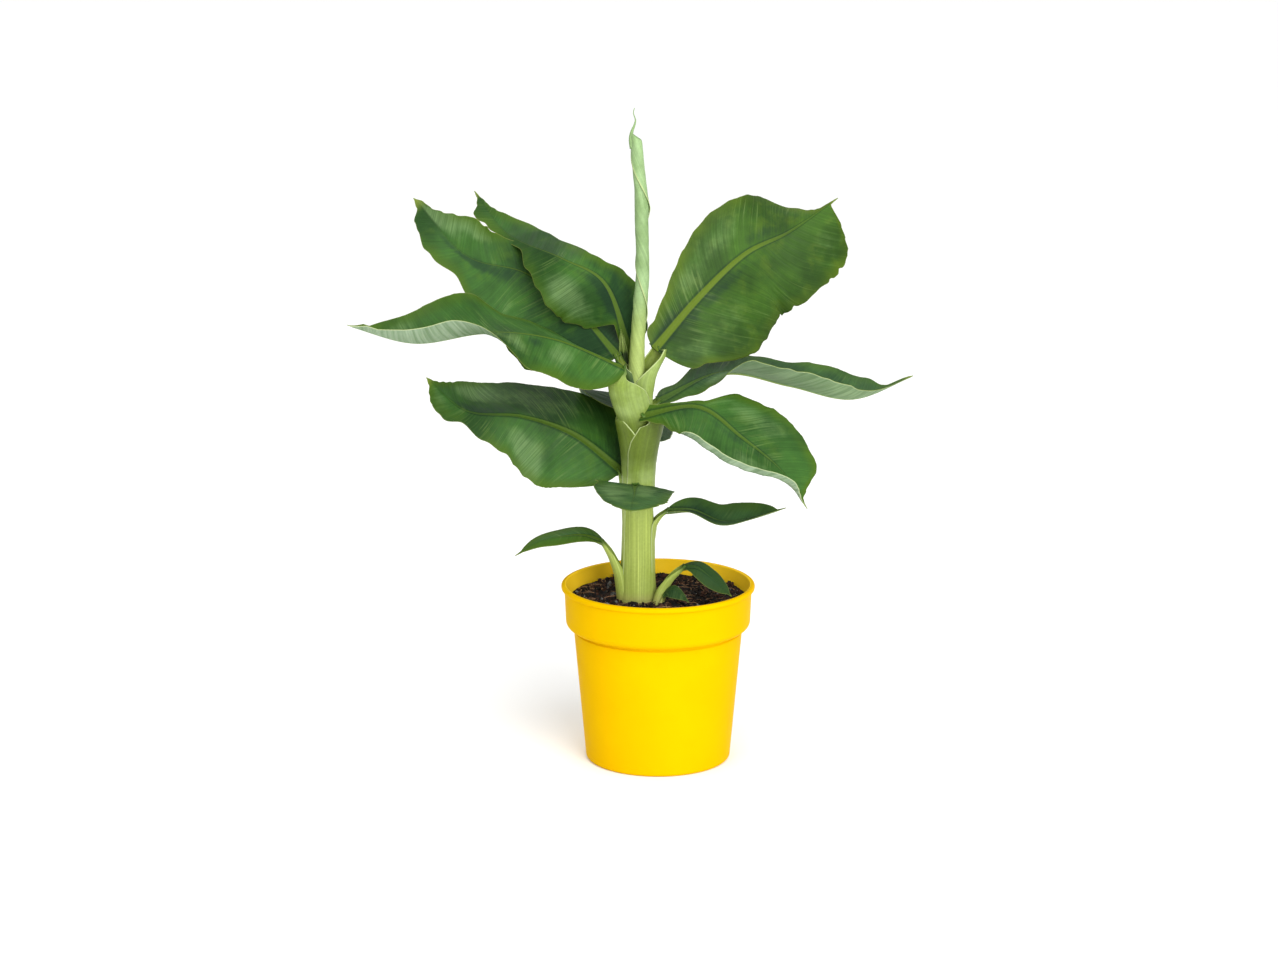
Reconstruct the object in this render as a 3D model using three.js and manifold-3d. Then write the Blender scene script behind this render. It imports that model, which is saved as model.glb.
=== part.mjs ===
// A young dwarf banana plant in a round plastic pot.
// Millimetres, +Z up. The origin is the middle of the pot's flat underside, and -Y faces the viewer.
import * as THREE from "three";
import { LoftGeometry } from "three/addons/geometries/LoftGeometry.js";
import { mergeVertices } from "three/addons/utils/BufferGeometryUtils.js";
import Module from "manifold-3d";

const wasm = await Module();
wasm.setup();

// Clearance between two neighbouring pieces.
const GAP = 0.3;

// The pot: a tapered body under a wider collar with a rolled lip.
const POT = {
  height: 177,
  rimRadius: 95,
  footRadius: 71,
  collarFoot: 133,
  bodyTopRadius: 83,
  collarTopRadius: 92,
  collarCorner: 7,
  footCorner: 3,
  lipHeight: 5,
  wall: 2.6,
  floor: 4,
  sides: 48,
};

// The soil stands a finger's width below the rim.
const SOIL = { level: 162, lump: 3, rings: 6, clearRadius: 30 };

// The stem, as [height, half width, half depth, middle x, middle y] from the soil to the crown.
const STEM_RINGS = [
  [162.3, 17.6, 16.5, -20, -6],
  [170, 16.6, 15.6, -20, -6],
  [200, 16, 15, -19.5, -6],
  [250, 14.6, 14, -19.5, -5],
  [285, 15.6, 14.5, -19.5, -4],
  [312, 17.4, 15, -19, -4],
  [330, 16, 13, -19, -4],
  [352, 13, 10, -19.5, -4],
  [374, 8.4, 8, -20, -3],
];

// The rolled new leaf and the thread at its tip, as [height, radius, middle x, middle y].
const SPEAR_RINGS = [
  [374.6, 6.8, -20.3, -3],
  [400, 7, -20, -2.5],
  [420, 7.1, -19.6, -2],
  [459, 7.2, -17.4, -1],
  [478, 6.9, -15.6, 0],
  [504, 6.5, -15, 0],
  [540, 7.3, -16.2, 0],
  [549, 7.5, -15.8, 0],
  [564, 6.6, -17, 0],
  [586, 6.2, -19.2, 0],
  [612, 6, -21, 0],
  [619, 4.6, -23.6, 0],
  [628, 1.6, -22.2, 0],
  [636, 0.8, -22.4, 0],
  [645, 0.7, -24.2, 0],
];

// Blade form shared by every leaf: its sections, how bluntly it opens at its foot, how fully it reaches
// towards its tip, the thread the tip ends in, and its thickness.
const BLADE = {
  stations: 17,
  across: [0.16, 0.55, 1],
  footPower: 5,
  tipPower: 3.5,
  footWidth: 4,
  threadShare: 0.06,
  threadHalfWidth: 0.8,
  thicknessShare: 0.011,
  keelShare: 0.012,
  leastThickness: 0.9,
};

// Leaves. rib: five points from the blade's foot to its tip. Each half blade, right and left as seen from
// the stalk, has even steps from foot to tip of its width, of how far it lifts above the rib (degrees,
// negative hangs down) and of how much more it bends by its margin. steady: how far the blade's cross
// sections keep to the leaf's overall direction where its rib bends.
// stalk: points from its foot to just before the blade, with half width and half depth at foot and top.
const LEAVES = {
  upper_right: {
    stalk: { points: [[-15, -5, 348], [-10, -4, 372], [-5, -2, 393]], foot: [7.5, 6], top: [5, 4] },
    rib: [[-1, 0, 410], [40, 18, 459], [84, 38, 497], [128, 52, 517], [175, 64, 548]],
    left: { width: [24, 44, 66, 56], lift: [70, 66, 20], curl: [10, 0, -20] },
    right: { width: [98, 85, 68, 68], lift: [-65, -86, -60], curl: [-10, -10, 15], tipPower: 20 },
  },
  upper_back: {
    stalk: { points: [[-25, 4, 352], [-28, 8, 376], [-29, 9, 394]], foot: [6, 5], top: [4.5, 3.5] },
    rib: [[-28, 10, 408], [-51, 12, 472], [-93, 20, 496], [-148, 92, 508], [-178, 118, 544]],
    steady: 0.6,
    left: { width: [62, 62, 60, 14, 14], lift: [-70, -70, -60, -40, -20], curl: [-10, 0, 0] },
    right: { width: [60, 50, 60, 55], lift: [15, 0, 18], curl: [12, 0, 10] },
  },
  upper_left: {
    stalk: { points: [[-28, -4, 350], [-32, -3, 372], [-36, -2, 390]], foot: [7, 5], top: [5, 4] },
    rib: [[-39, 0, 404], [-79, 30, 443], [-130, 58, 475], [-188, 66, 491], [-235, 66, 547]],
    left: { width: [84, 88, 72, 28, 56], lift: [-72, -72, -60, -50, -75], curl: [-10, 0, 0], tipPower: 9 },
    right: { width: [60, 50, 40, 50, 76], lift: [10, 20, 40, 72, 60], curl: [0, 5, 10], tipPower: 4.5 },
  },
  middle_left: {
    stalk: { points: [[-20, -13, 318], [-24, -18, 345], [-30, -19, 372]], foot: [14, 5], top: [9, 4] },
    rib: [[-33, -14, 399], [-98, -40, 428], [-163, -68, 441], [-229, -92, 436], [-290, -115, 457]],
    left: { width: [68, 50, 50, 46], lift: [-64, -36, 34, 38], curl: [-20, -16, 28, 18], tipPower: 2 },
    right: { width: [52, 58, 48, 48], lift: [-8, 8, 58, 34], curl: [0, 0, 16, 10] },
  },
  middle_right: {
    stalk: { points: [[-11, 1, 320], [-5, 4, 338], [1, 7, 352]], foot: [6, 6], top: [4.5, 4] },
    rib: [[9, 8, 362], [68, 14, 387], [128, 20, 372], [190, 26, 357], [249, 32, 378]],
    left: { width: [44, 43, 45, 41], lift: [16, 17, 32, 18], curl: [0, 0, 0, 8] },
    right: { width: [21, 48, 43, 41], lift: [-58, 15, 28, 10], curl: [-12, 18, 16, 0] },
  },
  lower_left: {
    stalk: { points: [[-26, -1, 255], [-31, 3, 268], [-34, 5, 279]], foot: [7, 5], top: [5, 4] },
    rib: [[-36, 6, 289], [-81, 0, 326], [-131, -8, 346], [-185, -14, 353], [-223, -20, 387]],
    left: { width: [68, 68, 58, 28, 40], lift: [-62, -72, -72, -60, -60], curl: [-10, 0, 0], tipPower: 5 },
    right: { width: [66, 64, 64, 64], lift: [38, 18, 24], curl: [10, 0, 10], tipPower: 5 },
  },
  lower_right: {
    stalk: { points: [[-12, -11, 302], [-9, -14, 322], [-7, -15, 339]], foot: [11, 6], top: [7, 5] },
    rib: [[-6, -14, 352], [41, -40, 362], [79, -62, 338], [117, -80, 309], [141, -92, 275]],
    left: { width: [52, 54, 56, 58], lift: [-12, 26, 30], curl: [-5, 0, -10], tipPower: 6 },
    right: { width: [50, 49, 50, 52], lift: [-33, -31, 24], curl: [-10, 12, 34], tipPower: 5 },
  },
  back: {
    stalk: { points: [[-29, 0, 306], [-34, 4, 322], [-36, 8, 336]], foot: [8, 6], top: [5, 4] },
    rib: [[-36, 14, 347], [-30, 50, 354], [-16, 90, 336], [-2, 118, 304], [6, 136, 262]],
    left: { width: [50, 56, 56, 46], lift: [12, 5, -20], curl: [0, -10, -10] },
    right: { width: [46, 54, 52, 44], lift: [-35, -45, -40], curl: [0, -5, -5] },
  },
  front: {
    stalk: { points: [[-21, -14, 262], [-21, -18, 270], [-21, -21, 276]], foot: [6, 5], top: [4, 3] },
    rib: [[-22, -24, 282], [-23, -50, 285], [-23, -78, 286], [-25, -106, 285], [-26, -134, 283]],
    left: { width: [41, 42, 42, 42], lift: [0, -4, 0], curl: [0, 0, 10] },
    right: { width: [42, 43, 45, 45], lift: [7, 8, 2], curl: [0, 10, 8], tipPower: 4.5 },
  },
  small_right: {
    stalk: { points: [[-8, -6, 188], [-3, -5, 212], [2, -4, 236]], foot: [4.5, 3.5], top: [3, 2.5] },
    rib: [[8, -4, 252], [34, -8, 253], [62, -12, 243], [91, -16, 247], [124, -20, 258]],
    left: { width: [18, 18, 24, 28], lift: [41, 41, 43], curl: [0, 0, 0], tipPower: 5 },
    right: { width: [20, 20, 21, 22], lift: [10, -4, 8], curl: [3, 11, 12] },
  },
  small_left: {
    stalk: { points: [[-37, -10, 159], [-40, -10, 182], [-44, -8, 202]], foot: [7, 6], top: [3, 2.5] },
    rib: [[-53, -4, 220], [-72, -10, 228], [-95, -16, 228], [-117, -22, 224], [-139, -28, 212]],
    left: { width: [10, 11, 13, 12], lift: [-26, -31, -18], curl: [0, 0, 0] },
    right: { width: [22, 19, 17, 17], lift: [22, 8, 12], curl: [0, 0, 0] },
  },
  offshoot_large: {
    stalk: { points: [[-1, -23, 159], [4, -20, 175], [12, -20, 188]], foot: [4.5, 4.5], top: [2.6, 2.4] },
    rib: [[23, -20, 199], [37, -26, 200], [49, -32, 193], [61, -38, 184], [71, -46, 176]],
    left: { width: [12, 11, 12, 12], lift: [19, 19, 10], curl: [0, 0, 0] },
    right: { width: [7, 11, 13, 15], lift: [-39, -40, -31], curl: [0, 0, 0] },
  },
  offshoot_small: {
    stalk: { points: [[1, -31, 159], [2, -30, 163], [3, -29, 167]], foot: [2.2, 2.2], top: [1.6, 1.6] },
    rib: [[4, -29, 171], [9, -30, 177], [15, -32, 179], [22, -35, 175], [30, -40, 168]],
    left: { width: [9, 8, 7, 7], lift: [25, 19, 10], curl: [0, 0, 0] },
    right: { width: [9, 11, 12, 12], lift: [-39, -40, -32], curl: [0, 0, 0] },
  },
};

const COLOUR = {
  pot: [0xf2bd05, 0.42],
  soil: [0x2c1d14, 0.95],
  stem: [0xa7b860, 0.5],
  spear: [0xb4d492, 0.5],
  leaf: [0x2f6a2c, 0.45],
};

const vector = (p) => new THREE.Vector3(...p);

// A solid for cutting and joining, out of a closed geometry.
function solidOf(geometry) {
  const plain = new THREE.BufferGeometry().setAttribute("position", geometry.attributes.position);
  const merged = mergeVertices(plain.setIndex(geometry.index), 1e-3);
  const corners = merged.index.array;
  const kept = [];
  for (let i = 0; i < corners.length; i += 3) {
    const [a, b, c] = corners.slice(i, i + 3);
    if (a !== b && b !== c && c !== a) kept.push(a, b, c);
  }
  return new wasm.Manifold(
    new wasm.Mesh({
      numProp: 3,
      vertProperties: merged.attributes.position.array,
      triVerts: new Uint32Array(kept),
    }),
  );
}

function geometryOf(solid) {
  const mesh = solid.getMesh();
  const geometry = new THREE.BufferGeometry()
    .setAttribute("position", new THREE.BufferAttribute(mesh.vertProperties, 3))
    .setIndex(new THREE.BufferAttribute(mesh.triVerts, 1));
  geometry.computeVertexNormals();
  return geometry;
}

// The largest body of a solid, once cutting has left crumbs beside it.
function largestBody(solid) {
  return solid.decompose().reduce((a, b) => (a.volume() > b.volume() ? a : b));
}

const root = new THREE.Group();

function addPiece(name, solid, [colour, roughness]) {
  const material = new THREE.MeshStandardMaterial({ color: colour, roughness, metalness: 0 });
  const mesh = new THREE.Mesh(geometryOf(solid), material);
  mesh.name = name;
  root.add(mesh);
}

// A value that passes smoothly through even steps along a leaf, from 0 at its foot to 1 at its tip.
function along(values, t) {
  const place = Math.min(t, 1) * (values.length - 1);
  const step = Math.min(Math.floor(place), values.length - 2);
  const share = place - step;
  const eased = share * share * (3 - 2 * share);
  return values[step] + (values[step + 1] - values[step]) * eased;
}

// Arc of a circle as profile points, from one angle to another in degrees.
function arc(r, z, radius, from, to, steps) {
  return Array.from({ length: steps + 1 }, (_, i) => {
    const angle = THREE.MathUtils.degToRad(from + ((to - from) * i) / steps);
    return [r + radius * Math.cos(angle), z + radius * Math.sin(angle)];
  });
}

// The inside of the pot from its floor up to the height asked for, moved inwards by a clearance.
function innerWall(topHeight, clearance) {
  const inset = POT.wall + clearance;
  const shelfHeight = POT.collarFoot + POT.collarCorner;
  const shelfRadius = POT.bodyTopRadius + POT.collarCorner - POT.wall - inset;
  const share = (topHeight - shelfHeight) / (POT.height - shelfHeight);
  return [
    [POT.footRadius - POT.footCorner - inset, POT.floor + clearance],
    [POT.footRadius - inset, POT.floor + POT.footCorner + clearance],
    [POT.bodyTopRadius - inset, POT.collarFoot],
    [shelfRadius, shelfHeight],
    [shelfRadius + (POT.collarTopRadius - inset - shelfRadius) * share, topHeight],
  ];
}

function makePot() {
  const lipFoot = POT.height - POT.lipHeight;
  const lipRadius = POT.lipHeight / 2;
  const outside = [
    [0, 0],
    ...arc(POT.footRadius - POT.footCorner, POT.footCorner, POT.footCorner, -90, 0, 2),
    [POT.bodyTopRadius, POT.collarFoot],
    ...arc(POT.bodyTopRadius, POT.collarFoot + POT.collarCorner, POT.collarCorner, -70, 0, 3),
    [POT.collarTopRadius, lipFoot],
    ...arc(POT.rimRadius - lipRadius, POT.height - lipRadius, lipRadius, -60, 90, 4),
  ];
  const inside = [...innerWall(POT.height - 2, 0).reverse(), [0, POT.floor]];
  const profile = [...outside, ...inside].map(([r, z]) => new THREE.Vector2(r, z));
  return solidOf(new THREE.LatheGeometry(profile, POT.sides).rotateX(Math.PI / 2));
}

// Lumps in the soil, from three crossed waves, that fade out under the stem.
function soilLump(x, y) {
  const [, , , stemX, stemY] = STEM_RINGS[0];
  const reach = Math.hypot(x - stemX, y - stemY) / SOIL.clearRadius;
  const fade = Math.min(1, Math.max(0, reach - 1));
  const waves = Math.sin(x * 0.11 + 1) + Math.sin(y * 0.13 + 2) + Math.sin((x + y) * 0.07);
  return (SOIL.lump * fade * waves) / 3;
}

function makeSoil() {
  const side = innerWall(SOIL.level, GAP);
  const edge = side.at(-1)[0];
  const ring = (r, z) =>
    Array.from({ length: POT.sides }, (_, i) => {
      const angle = (i / POT.sides) * 2 * Math.PI;
      const [x, y] = [r * Math.cos(angle), r * Math.sin(angle)];
      return new THREE.Vector3(x, y, z ?? SOIL.level + soilLump(x, y));
    });
  const sections = side.map(([r, z]) => ring(r, z));
  for (let i = 1; i < SOIL.rings; i++) sections.push(ring(edge * (1 - i / SOIL.rings)));
  return solidOf(new LoftGeometry(sections, { capStart: true, capEnd: true }));
}

// A level ring round the stem or the rolled leaf.
function levelRing(height, halfWidth, halfDepth, x, y, sides) {
  return Array.from({ length: sides }, (_, i) => {
    const angle = (i / sides) * 2 * Math.PI;
    return new THREE.Vector3(x + halfWidth * Math.cos(angle), y + halfDepth * Math.sin(angle), height);
  });
}

function makeStem(grow) {
  const rings = STEM_RINGS.map(([z, w, d, x, y]) => levelRing(z, w + grow, d + grow, x, y, 20));
  rings[rings.length - 1].forEach((point) => (point.z += grow));
  return solidOf(new LoftGeometry(rings, { capStart: true, capEnd: true }));
}

function makeSpear(grow) {
  const rings = SPEAR_RINGS.map(([z, r, x, y]) => levelRing(z, r + grow, r + grow, x, y, 12));
  rings[0].forEach((point) => (point.z -= grow));
  return solidOf(new LoftGeometry(rings, { capStart: true, capEnd: true }));
}

// The directions at a point of a leaf's rib or stalk: side is to the right, seen from the stalk, and up
// is the side that the leaf turns to the sky.
function frameAt(curve, t, side0, steady = 0) {
  const chord = curve.getPoint(1).sub(curve.getPoint(0)).normalize();
  const tangent = curve.getTangent(t).lerp(chord, steady).normalize();
  const side = side0.clone().addScaledVector(tangent, -side0.dot(tangent)).normalize();
  const up = side.clone().cross(tangent);
  return { point: curve.getPoint(t), tangent, side, up };
}

const curveThrough = (points) => new THREE.CatmullRomCurve3(points.map(vector), false, "catmullrom", 0.5);

// Level direction to the right of the way a leaf heads.
function levelSide(leaf) {
  const heading = vector(leaf.rib.at(-1)).sub(vector(leaf.rib[0]));
  return heading.cross(new THREE.Vector3(0, 0, 1)).normalize();
}

// A stalk is one tapering limb, rounder below than above.
function makeStalk(leaf, grow) {
  const { points, foot, top } = leaf.stalk;
  const curve = curveThrough([...points, leaf.rib[0]]);
  const side0 = levelSide(leaf);
  const [stations, sides] = [8, 10];
  const sections = [];
  const reach = 1 - (2 * GAP) / curve.getLength();
  for (let i = 0; i < stations; i++) {
    const t = (i / (stations - 1)) * reach;
    const { point, tangent, side, up } = frameAt(curve, t, side0);
    if (i === 0) point.addScaledVector(tangent, -grow);
    if (i === stations - 1) point.addScaledVector(tangent, grow);
    const halfWidth = foot[0] + (top[0] - foot[0]) * t + grow;
    const halfDepth = foot[1] + (top[1] - foot[1]) * t + grow;
    sections.push(
      Array.from({ length: sides }, (_, k) => {
        const angle = (-k / sides) * 2 * Math.PI;
        const rise = Math.sin(angle) * halfDepth * (Math.sin(angle) > 0 ? 0.7 : 1);
        return point.clone().addScaledVector(side, Math.cos(angle) * halfWidth).addScaledVector(up, rise);
      }),
    );
  }
  return solidOf(new LoftGeometry(sections, { capStart: true, capEnd: true }));
}

// Width of a half blade at a share of its length: round at the foot, closing at the tip, then a thread.
function halfWidthAt(half, t) {
  const share = Math.min(t / (1 - BLADE.threadShare), 1);
  const foot = (1 - (1 - share) ** BLADE.footPower) ** 0.6;
  const tip = (1 - share ** (half.tipPower ?? BLADE.tipPower)) ** 0.75;
  const least = t < 0.5 ? BLADE.footWidth * (1 - 2 * t) : 0;
  return Math.max(along(half.width, t) * foot * tip, least, BLADE.threadHalfWidth);
}

// A point of a half blade's arc in its section, at a distance from the rib, as [outwards, upwards, angle].
function arcPoint(lift, curl, halfWidth, q) {
  const angle = lift + curl * q;
  if (Math.abs(curl) < 1e-3) return [halfWidth * q * Math.cos(lift), halfWidth * q * Math.sin(lift), angle];
  const radius = halfWidth / curl;
  return [radius * (Math.sin(angle) - Math.sin(lift)), radius * (Math.cos(lift) - Math.cos(angle)), angle];
}

function makeBlade(leaf, grow) {
  const curve = curveThrough(leaf.rib);
  const side0 = levelSide(leaf);
  const length = curve.getLength();
  const thickness = Math.max(length * BLADE.thicknessShare, BLADE.leastThickness);
  const sections = [];
  for (let i = 0; i <= BLADE.stations; i++) {
    const share = i / BLADE.stations;
    const t = 0.5 * (share + 0.5 * (1 - Math.cos(Math.PI * share)));
    const { point, side, up } = frameAt(curve, t, side0, leaf.steady);
    const inThread = t > 1 - BLADE.threadShare;
    const thin = inThread ? Math.min(thickness, BLADE.threadHalfWidth * 1.6) : thickness;
    const keel = inThread ? thin : thin + length * BLADE.keelShare * (1 - t);
    const turns = (half) => [half.lift, half.curl].map((v) => THREE.MathUtils.degToRad(along(v, t)));
    const left = [halfWidthAt(leaf.left, t) + grow, ...turns(leaf.left)];
    const right = [halfWidthAt(leaf.right, t) + grow, ...turns(leaf.right)];
    // The blade is thickened along the mean of its two halves' directions.
    const lean = (right[1] + right[2] / 2 - left[1] - left[2] / 2) / 2;
    const down = side.clone().multiplyScalar(Math.sin(lean)).addScaledVector(up, -Math.cos(lean));
    const upper = [];
    const lower = [];
    const place = (q, sign, [halfWidth, lift, curl]) => {
      const [out, rise, angle] = arcPoint(lift, curl, halfWidth, q);
      const slope = Math.max(Math.cos(angle - sign * lean), 0.4);
      const top = point.clone().addScaledVector(side, sign * out).addScaledVector(up, rise);
      upper.push(top.clone().addScaledVector(down, -grow / slope));
      lower.push(top.clone().addScaledVector(down, q === 0 ? keel + grow : (thin + grow) / slope));
    };
    [...BLADE.across].reverse().forEach((q) => place(q, -1, left));
    place(0, 1, right);
    BLADE.across.forEach((q) => place(q, 1, right));
    sections.push([...upper, ...lower.reverse()]);
  }
  return solidOf(new LoftGeometry(sections, { capStart: true, capEnd: true }));
}

addPiece("pot", makePot(), COLOUR.pot);
addPiece("soil", makeSoil(), COLOUR.soil);
addPiece("stem", makeStem(0), COLOUR.stem);
addPiece("leaf_rolled", makeSpear(0), COLOUR.spear);

// Flat ground under the stalks that rise from the soil beside the stem.
function makeGround(grow) {
  const ground = new THREE.CylinderGeometry(60, 60, 20, 24).rotateX(Math.PI / 2);
  return solidOf(ground.translate(0, 0, SOIL.level + grow - 10));
}

// Each later piece is cut clear of the soil, the stem, the rolled leaf and the stalks before it.
const keepClear = [makeGround(GAP), makeStem(GAP), makeSpear(GAP)];
const cutClear = (solid) => largestBody(keepClear.reduce((left, tool) => left.subtract(tool), solid));

for (const [name, leaf] of Object.entries(LEAVES)) {
  addPiece(`stalk_${name}`, cutClear(makeStalk(leaf, 0)), COLOUR.stem);
  keepClear.push(makeStalk(leaf, GAP));
}
// Where two blades cross, the one made later is cut clear too.
for (const [name, leaf] of Object.entries(LEAVES)) {
  addPiece(`leaf_${name}`, cutClear(makeBlade(leaf, 0)), COLOUR.leaf);
  keepClear.push(makeBlade(leaf, GAP));
}

export default root;
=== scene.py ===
"""A young banana plant in a yellow pot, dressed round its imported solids.

Sizes of the pieces are in millimetres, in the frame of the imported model: +Z is up, the origin is the middle
of the pot's underside and -Y faces the viewer. Meshes are written in metres.
"""

from __future__ import annotations

import logging
import math
import random
from collections.abc import Callable, Sequence
from dataclasses import dataclass, field
from enum import Enum

import bmesh
import bpy
from mathutils import Euler, Matrix, Vector, noise


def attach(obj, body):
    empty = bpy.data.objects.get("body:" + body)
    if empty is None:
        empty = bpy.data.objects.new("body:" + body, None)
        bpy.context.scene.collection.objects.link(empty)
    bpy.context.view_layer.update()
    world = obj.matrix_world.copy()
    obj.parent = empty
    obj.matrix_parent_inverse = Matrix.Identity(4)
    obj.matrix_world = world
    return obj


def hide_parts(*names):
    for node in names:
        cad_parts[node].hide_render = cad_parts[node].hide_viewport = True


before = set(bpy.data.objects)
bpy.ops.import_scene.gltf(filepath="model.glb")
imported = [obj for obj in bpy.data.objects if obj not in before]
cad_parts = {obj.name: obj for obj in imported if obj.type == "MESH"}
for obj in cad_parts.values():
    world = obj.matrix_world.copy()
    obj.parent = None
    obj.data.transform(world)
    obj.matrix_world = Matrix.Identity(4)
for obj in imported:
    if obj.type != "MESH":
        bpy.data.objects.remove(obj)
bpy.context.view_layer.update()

MM = 0.001
BODY = "root"
log = logging.getLogger("banana_plant")

Point = tuple[float, float, float]
Rows = tuple[tuple[float, ...], ...]
Colour = tuple[float, float, float, float]
Socket = bpy.types.NodeSocket
Value = float | Colour | Point | Socket

# What the maps say where there is no margin, in millimetres, and no rib, in half widths of one.
FAR_FROM_MARGIN = 10.0
OFF_THE_RIB = 2.0


def paint(red: int, green: int, blue: int) -> Colour:
    """Turns a colour on the screen's scale of 0 to 255 into scene colour.

    Args:
        red: Screen value of red.
        green: Screen value of green.
        blue: Screen value of blue.

    Returns:
        The linear colour with full alpha.
    """
    linear = [((c / 255 + 0.055) / 1.055) ** 2.4 if c > 10 else c / 3295 for c in (red, green, blue)]
    return (linear[0], linear[1], linear[2], 1.0)


def ease(share: float) -> float:
    """Gives a share between 0 and 1 a soft start and end."""
    held = min(max(share, 0.0), 1.0)
    return held * held * (3 - 2 * held)


def along(values: Sequence[float], share: float) -> float:
    """Reads a value that passes smoothly through even steps.

    Args:
        values: Values at even steps from 0 to 1.
        share: Place between 0 and 1.

    Returns:
        The value at that place.
    """
    place = min(max(share, 0.0), 1.0) * (len(values) - 1)
    step = min(int(place), len(values) - 2)
    return values[step] + (values[step + 1] - values[step]) * ease(place - step)


def on_rings(rings: Sequence[Sequence[float]], height: float) -> list[float]:
    """Reads the numbers of stacked rings at a height.

    Args:
        rings: Rows that start with a height, lowest first.
        height: Height to read at.

    Returns:
        The other numbers of a row, at that height.
    """
    above = next((i for i, ring in enumerate(rings) if ring[0] > height), len(rings) - 1)
    low, high = rings[max(above - 1, 0)], rings[max(above, 1)]
    share = min(max((height - low[0]) / (high[0] - low[0]), 0.0), 1.0)
    return [a + (b - a) * share for a, b in zip(low[1:], high[1:])]


def ripple(place: float, row: float, scale: float) -> float:
    """Soft irregular value between about -1 and 1.

    Args:
        place: Place along the ripple, in the same unit as scale.
        row: Number that tells one ripple from another.
        scale: Length of one swell.

    Returns:
        The ripple's height.
    """
    return noise.noise(Vector((place / scale, row * 7.31, row * 1.7 + 0.37)))


@dataclass(frozen=True)
class Section:
    """Place and directions of one cross section: side is to the right seen from the foot, up is skywards."""

    point: Vector
    tangent: Vector
    side: Vector
    up: Vector


class Spine:
    """A smooth curve through points, which carries the cross sections of a leaf or a stalk."""

    STEPS = 60

    def __init__(self, points: Sequence[Point], level_side: Vector, steady: float = 0.0) -> None:
        """Keeps the points and the direction that sections keep level.

        Args:
            points: Points that the curve passes through.
            level_side: Level direction to the right of the way the leaf heads.
            steady: How far sections keep to the overall direction, from 0 to 1.
        """
        self.points = [Vector(point) for point in points]
        self.level_side = level_side
        self.steady = steady
        self.chord = (self.points[-1] - self.points[0]).normalized()
        steps = [self.at(i / self.STEPS) for i in range(self.STEPS + 1)]
        self.length = sum((b - a).length for a, b in zip(steps, steps[1:]))

    def _cubic(self, share: float) -> tuple[Vector, Vector, Vector, Vector, float]:
        """Finds the piece of curve at a share of the whole.

        Args:
            share: Place from 0 to 1.

        Returns:
            The factors of the piece's cubic, from its start upwards, and the place within the piece.
        """
        last = len(self.points) - 1
        place = min(max(share, 0.0), 1.0) * last
        step = min(int(place), last - 1)
        start, end = self.points[step], self.points[step + 1]
        before = self.points[step - 1] if step else start * 2 - end
        after = self.points[step + 2] if step + 2 <= last else end * 2 - start
        rise, fall = (end - before) / 2, (after - start) / 2
        bend = (end - start) * 3 - rise * 2 - fall
        turn = (start - end) * 2 + rise + fall
        return start, rise, bend, turn, place - step

    def at(self, share: float) -> Vector:
        """Point of the curve at a share of the whole."""
        start, rise, bend, turn, s = self._cubic(share)
        return start + rise * s + bend * s**2 + turn * s**3

    def heading(self, share: float) -> Vector:
        """Direction of the curve at a share of the whole."""
        _, rise, bend, turn, s = self._cubic(share)
        return (rise + bend * (2 * s) + turn * (3 * s**2)).normalized()

    def section(self, share: float) -> Section:
        """Lays a cross section on the curve.

        Args:
            share: Place from 0 to 1.

        Returns:
            Place and directions of the section.
        """
        tangent = self.heading(share).lerp(self.chord, self.steady).normalized()
        side = (self.level_side - tangent * self.level_side.dot(tangent)).normalized()
        return Section(self.at(share), tangent, side, side.cross(tangent))


@dataclass(frozen=True)
class SheetPoint:
    """One point of a thin sheet, on both its faces.

    lay is the distance along, across and from the margin. share is the place from foot to tip, from middle
    to margin, and against the edge of the rib. The last number is above 0 where pale wax and a painted sheen
    lighten the leaf, and below 0 where painted shade darkens its folds.
    """

    outer: Vector
    inner: Vector
    lay: Point
    share: Point
    bloom: float = 0.0


class Mark(Enum):
    """Maps that each mesh carries for its finishes, as SheetPoint says."""

    LAY = "lay"
    SHARE = "share"
    # Above 0: pale wax with a painted sheen; below 0: painted shade in folds.
    BLOOM = "bloom"


class Face(Enum):
    """Material places of a sheet: the face that is seen first, the face behind it, and its rim."""

    UPPER = 0
    UNDER = 1
    RIM = 2


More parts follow.
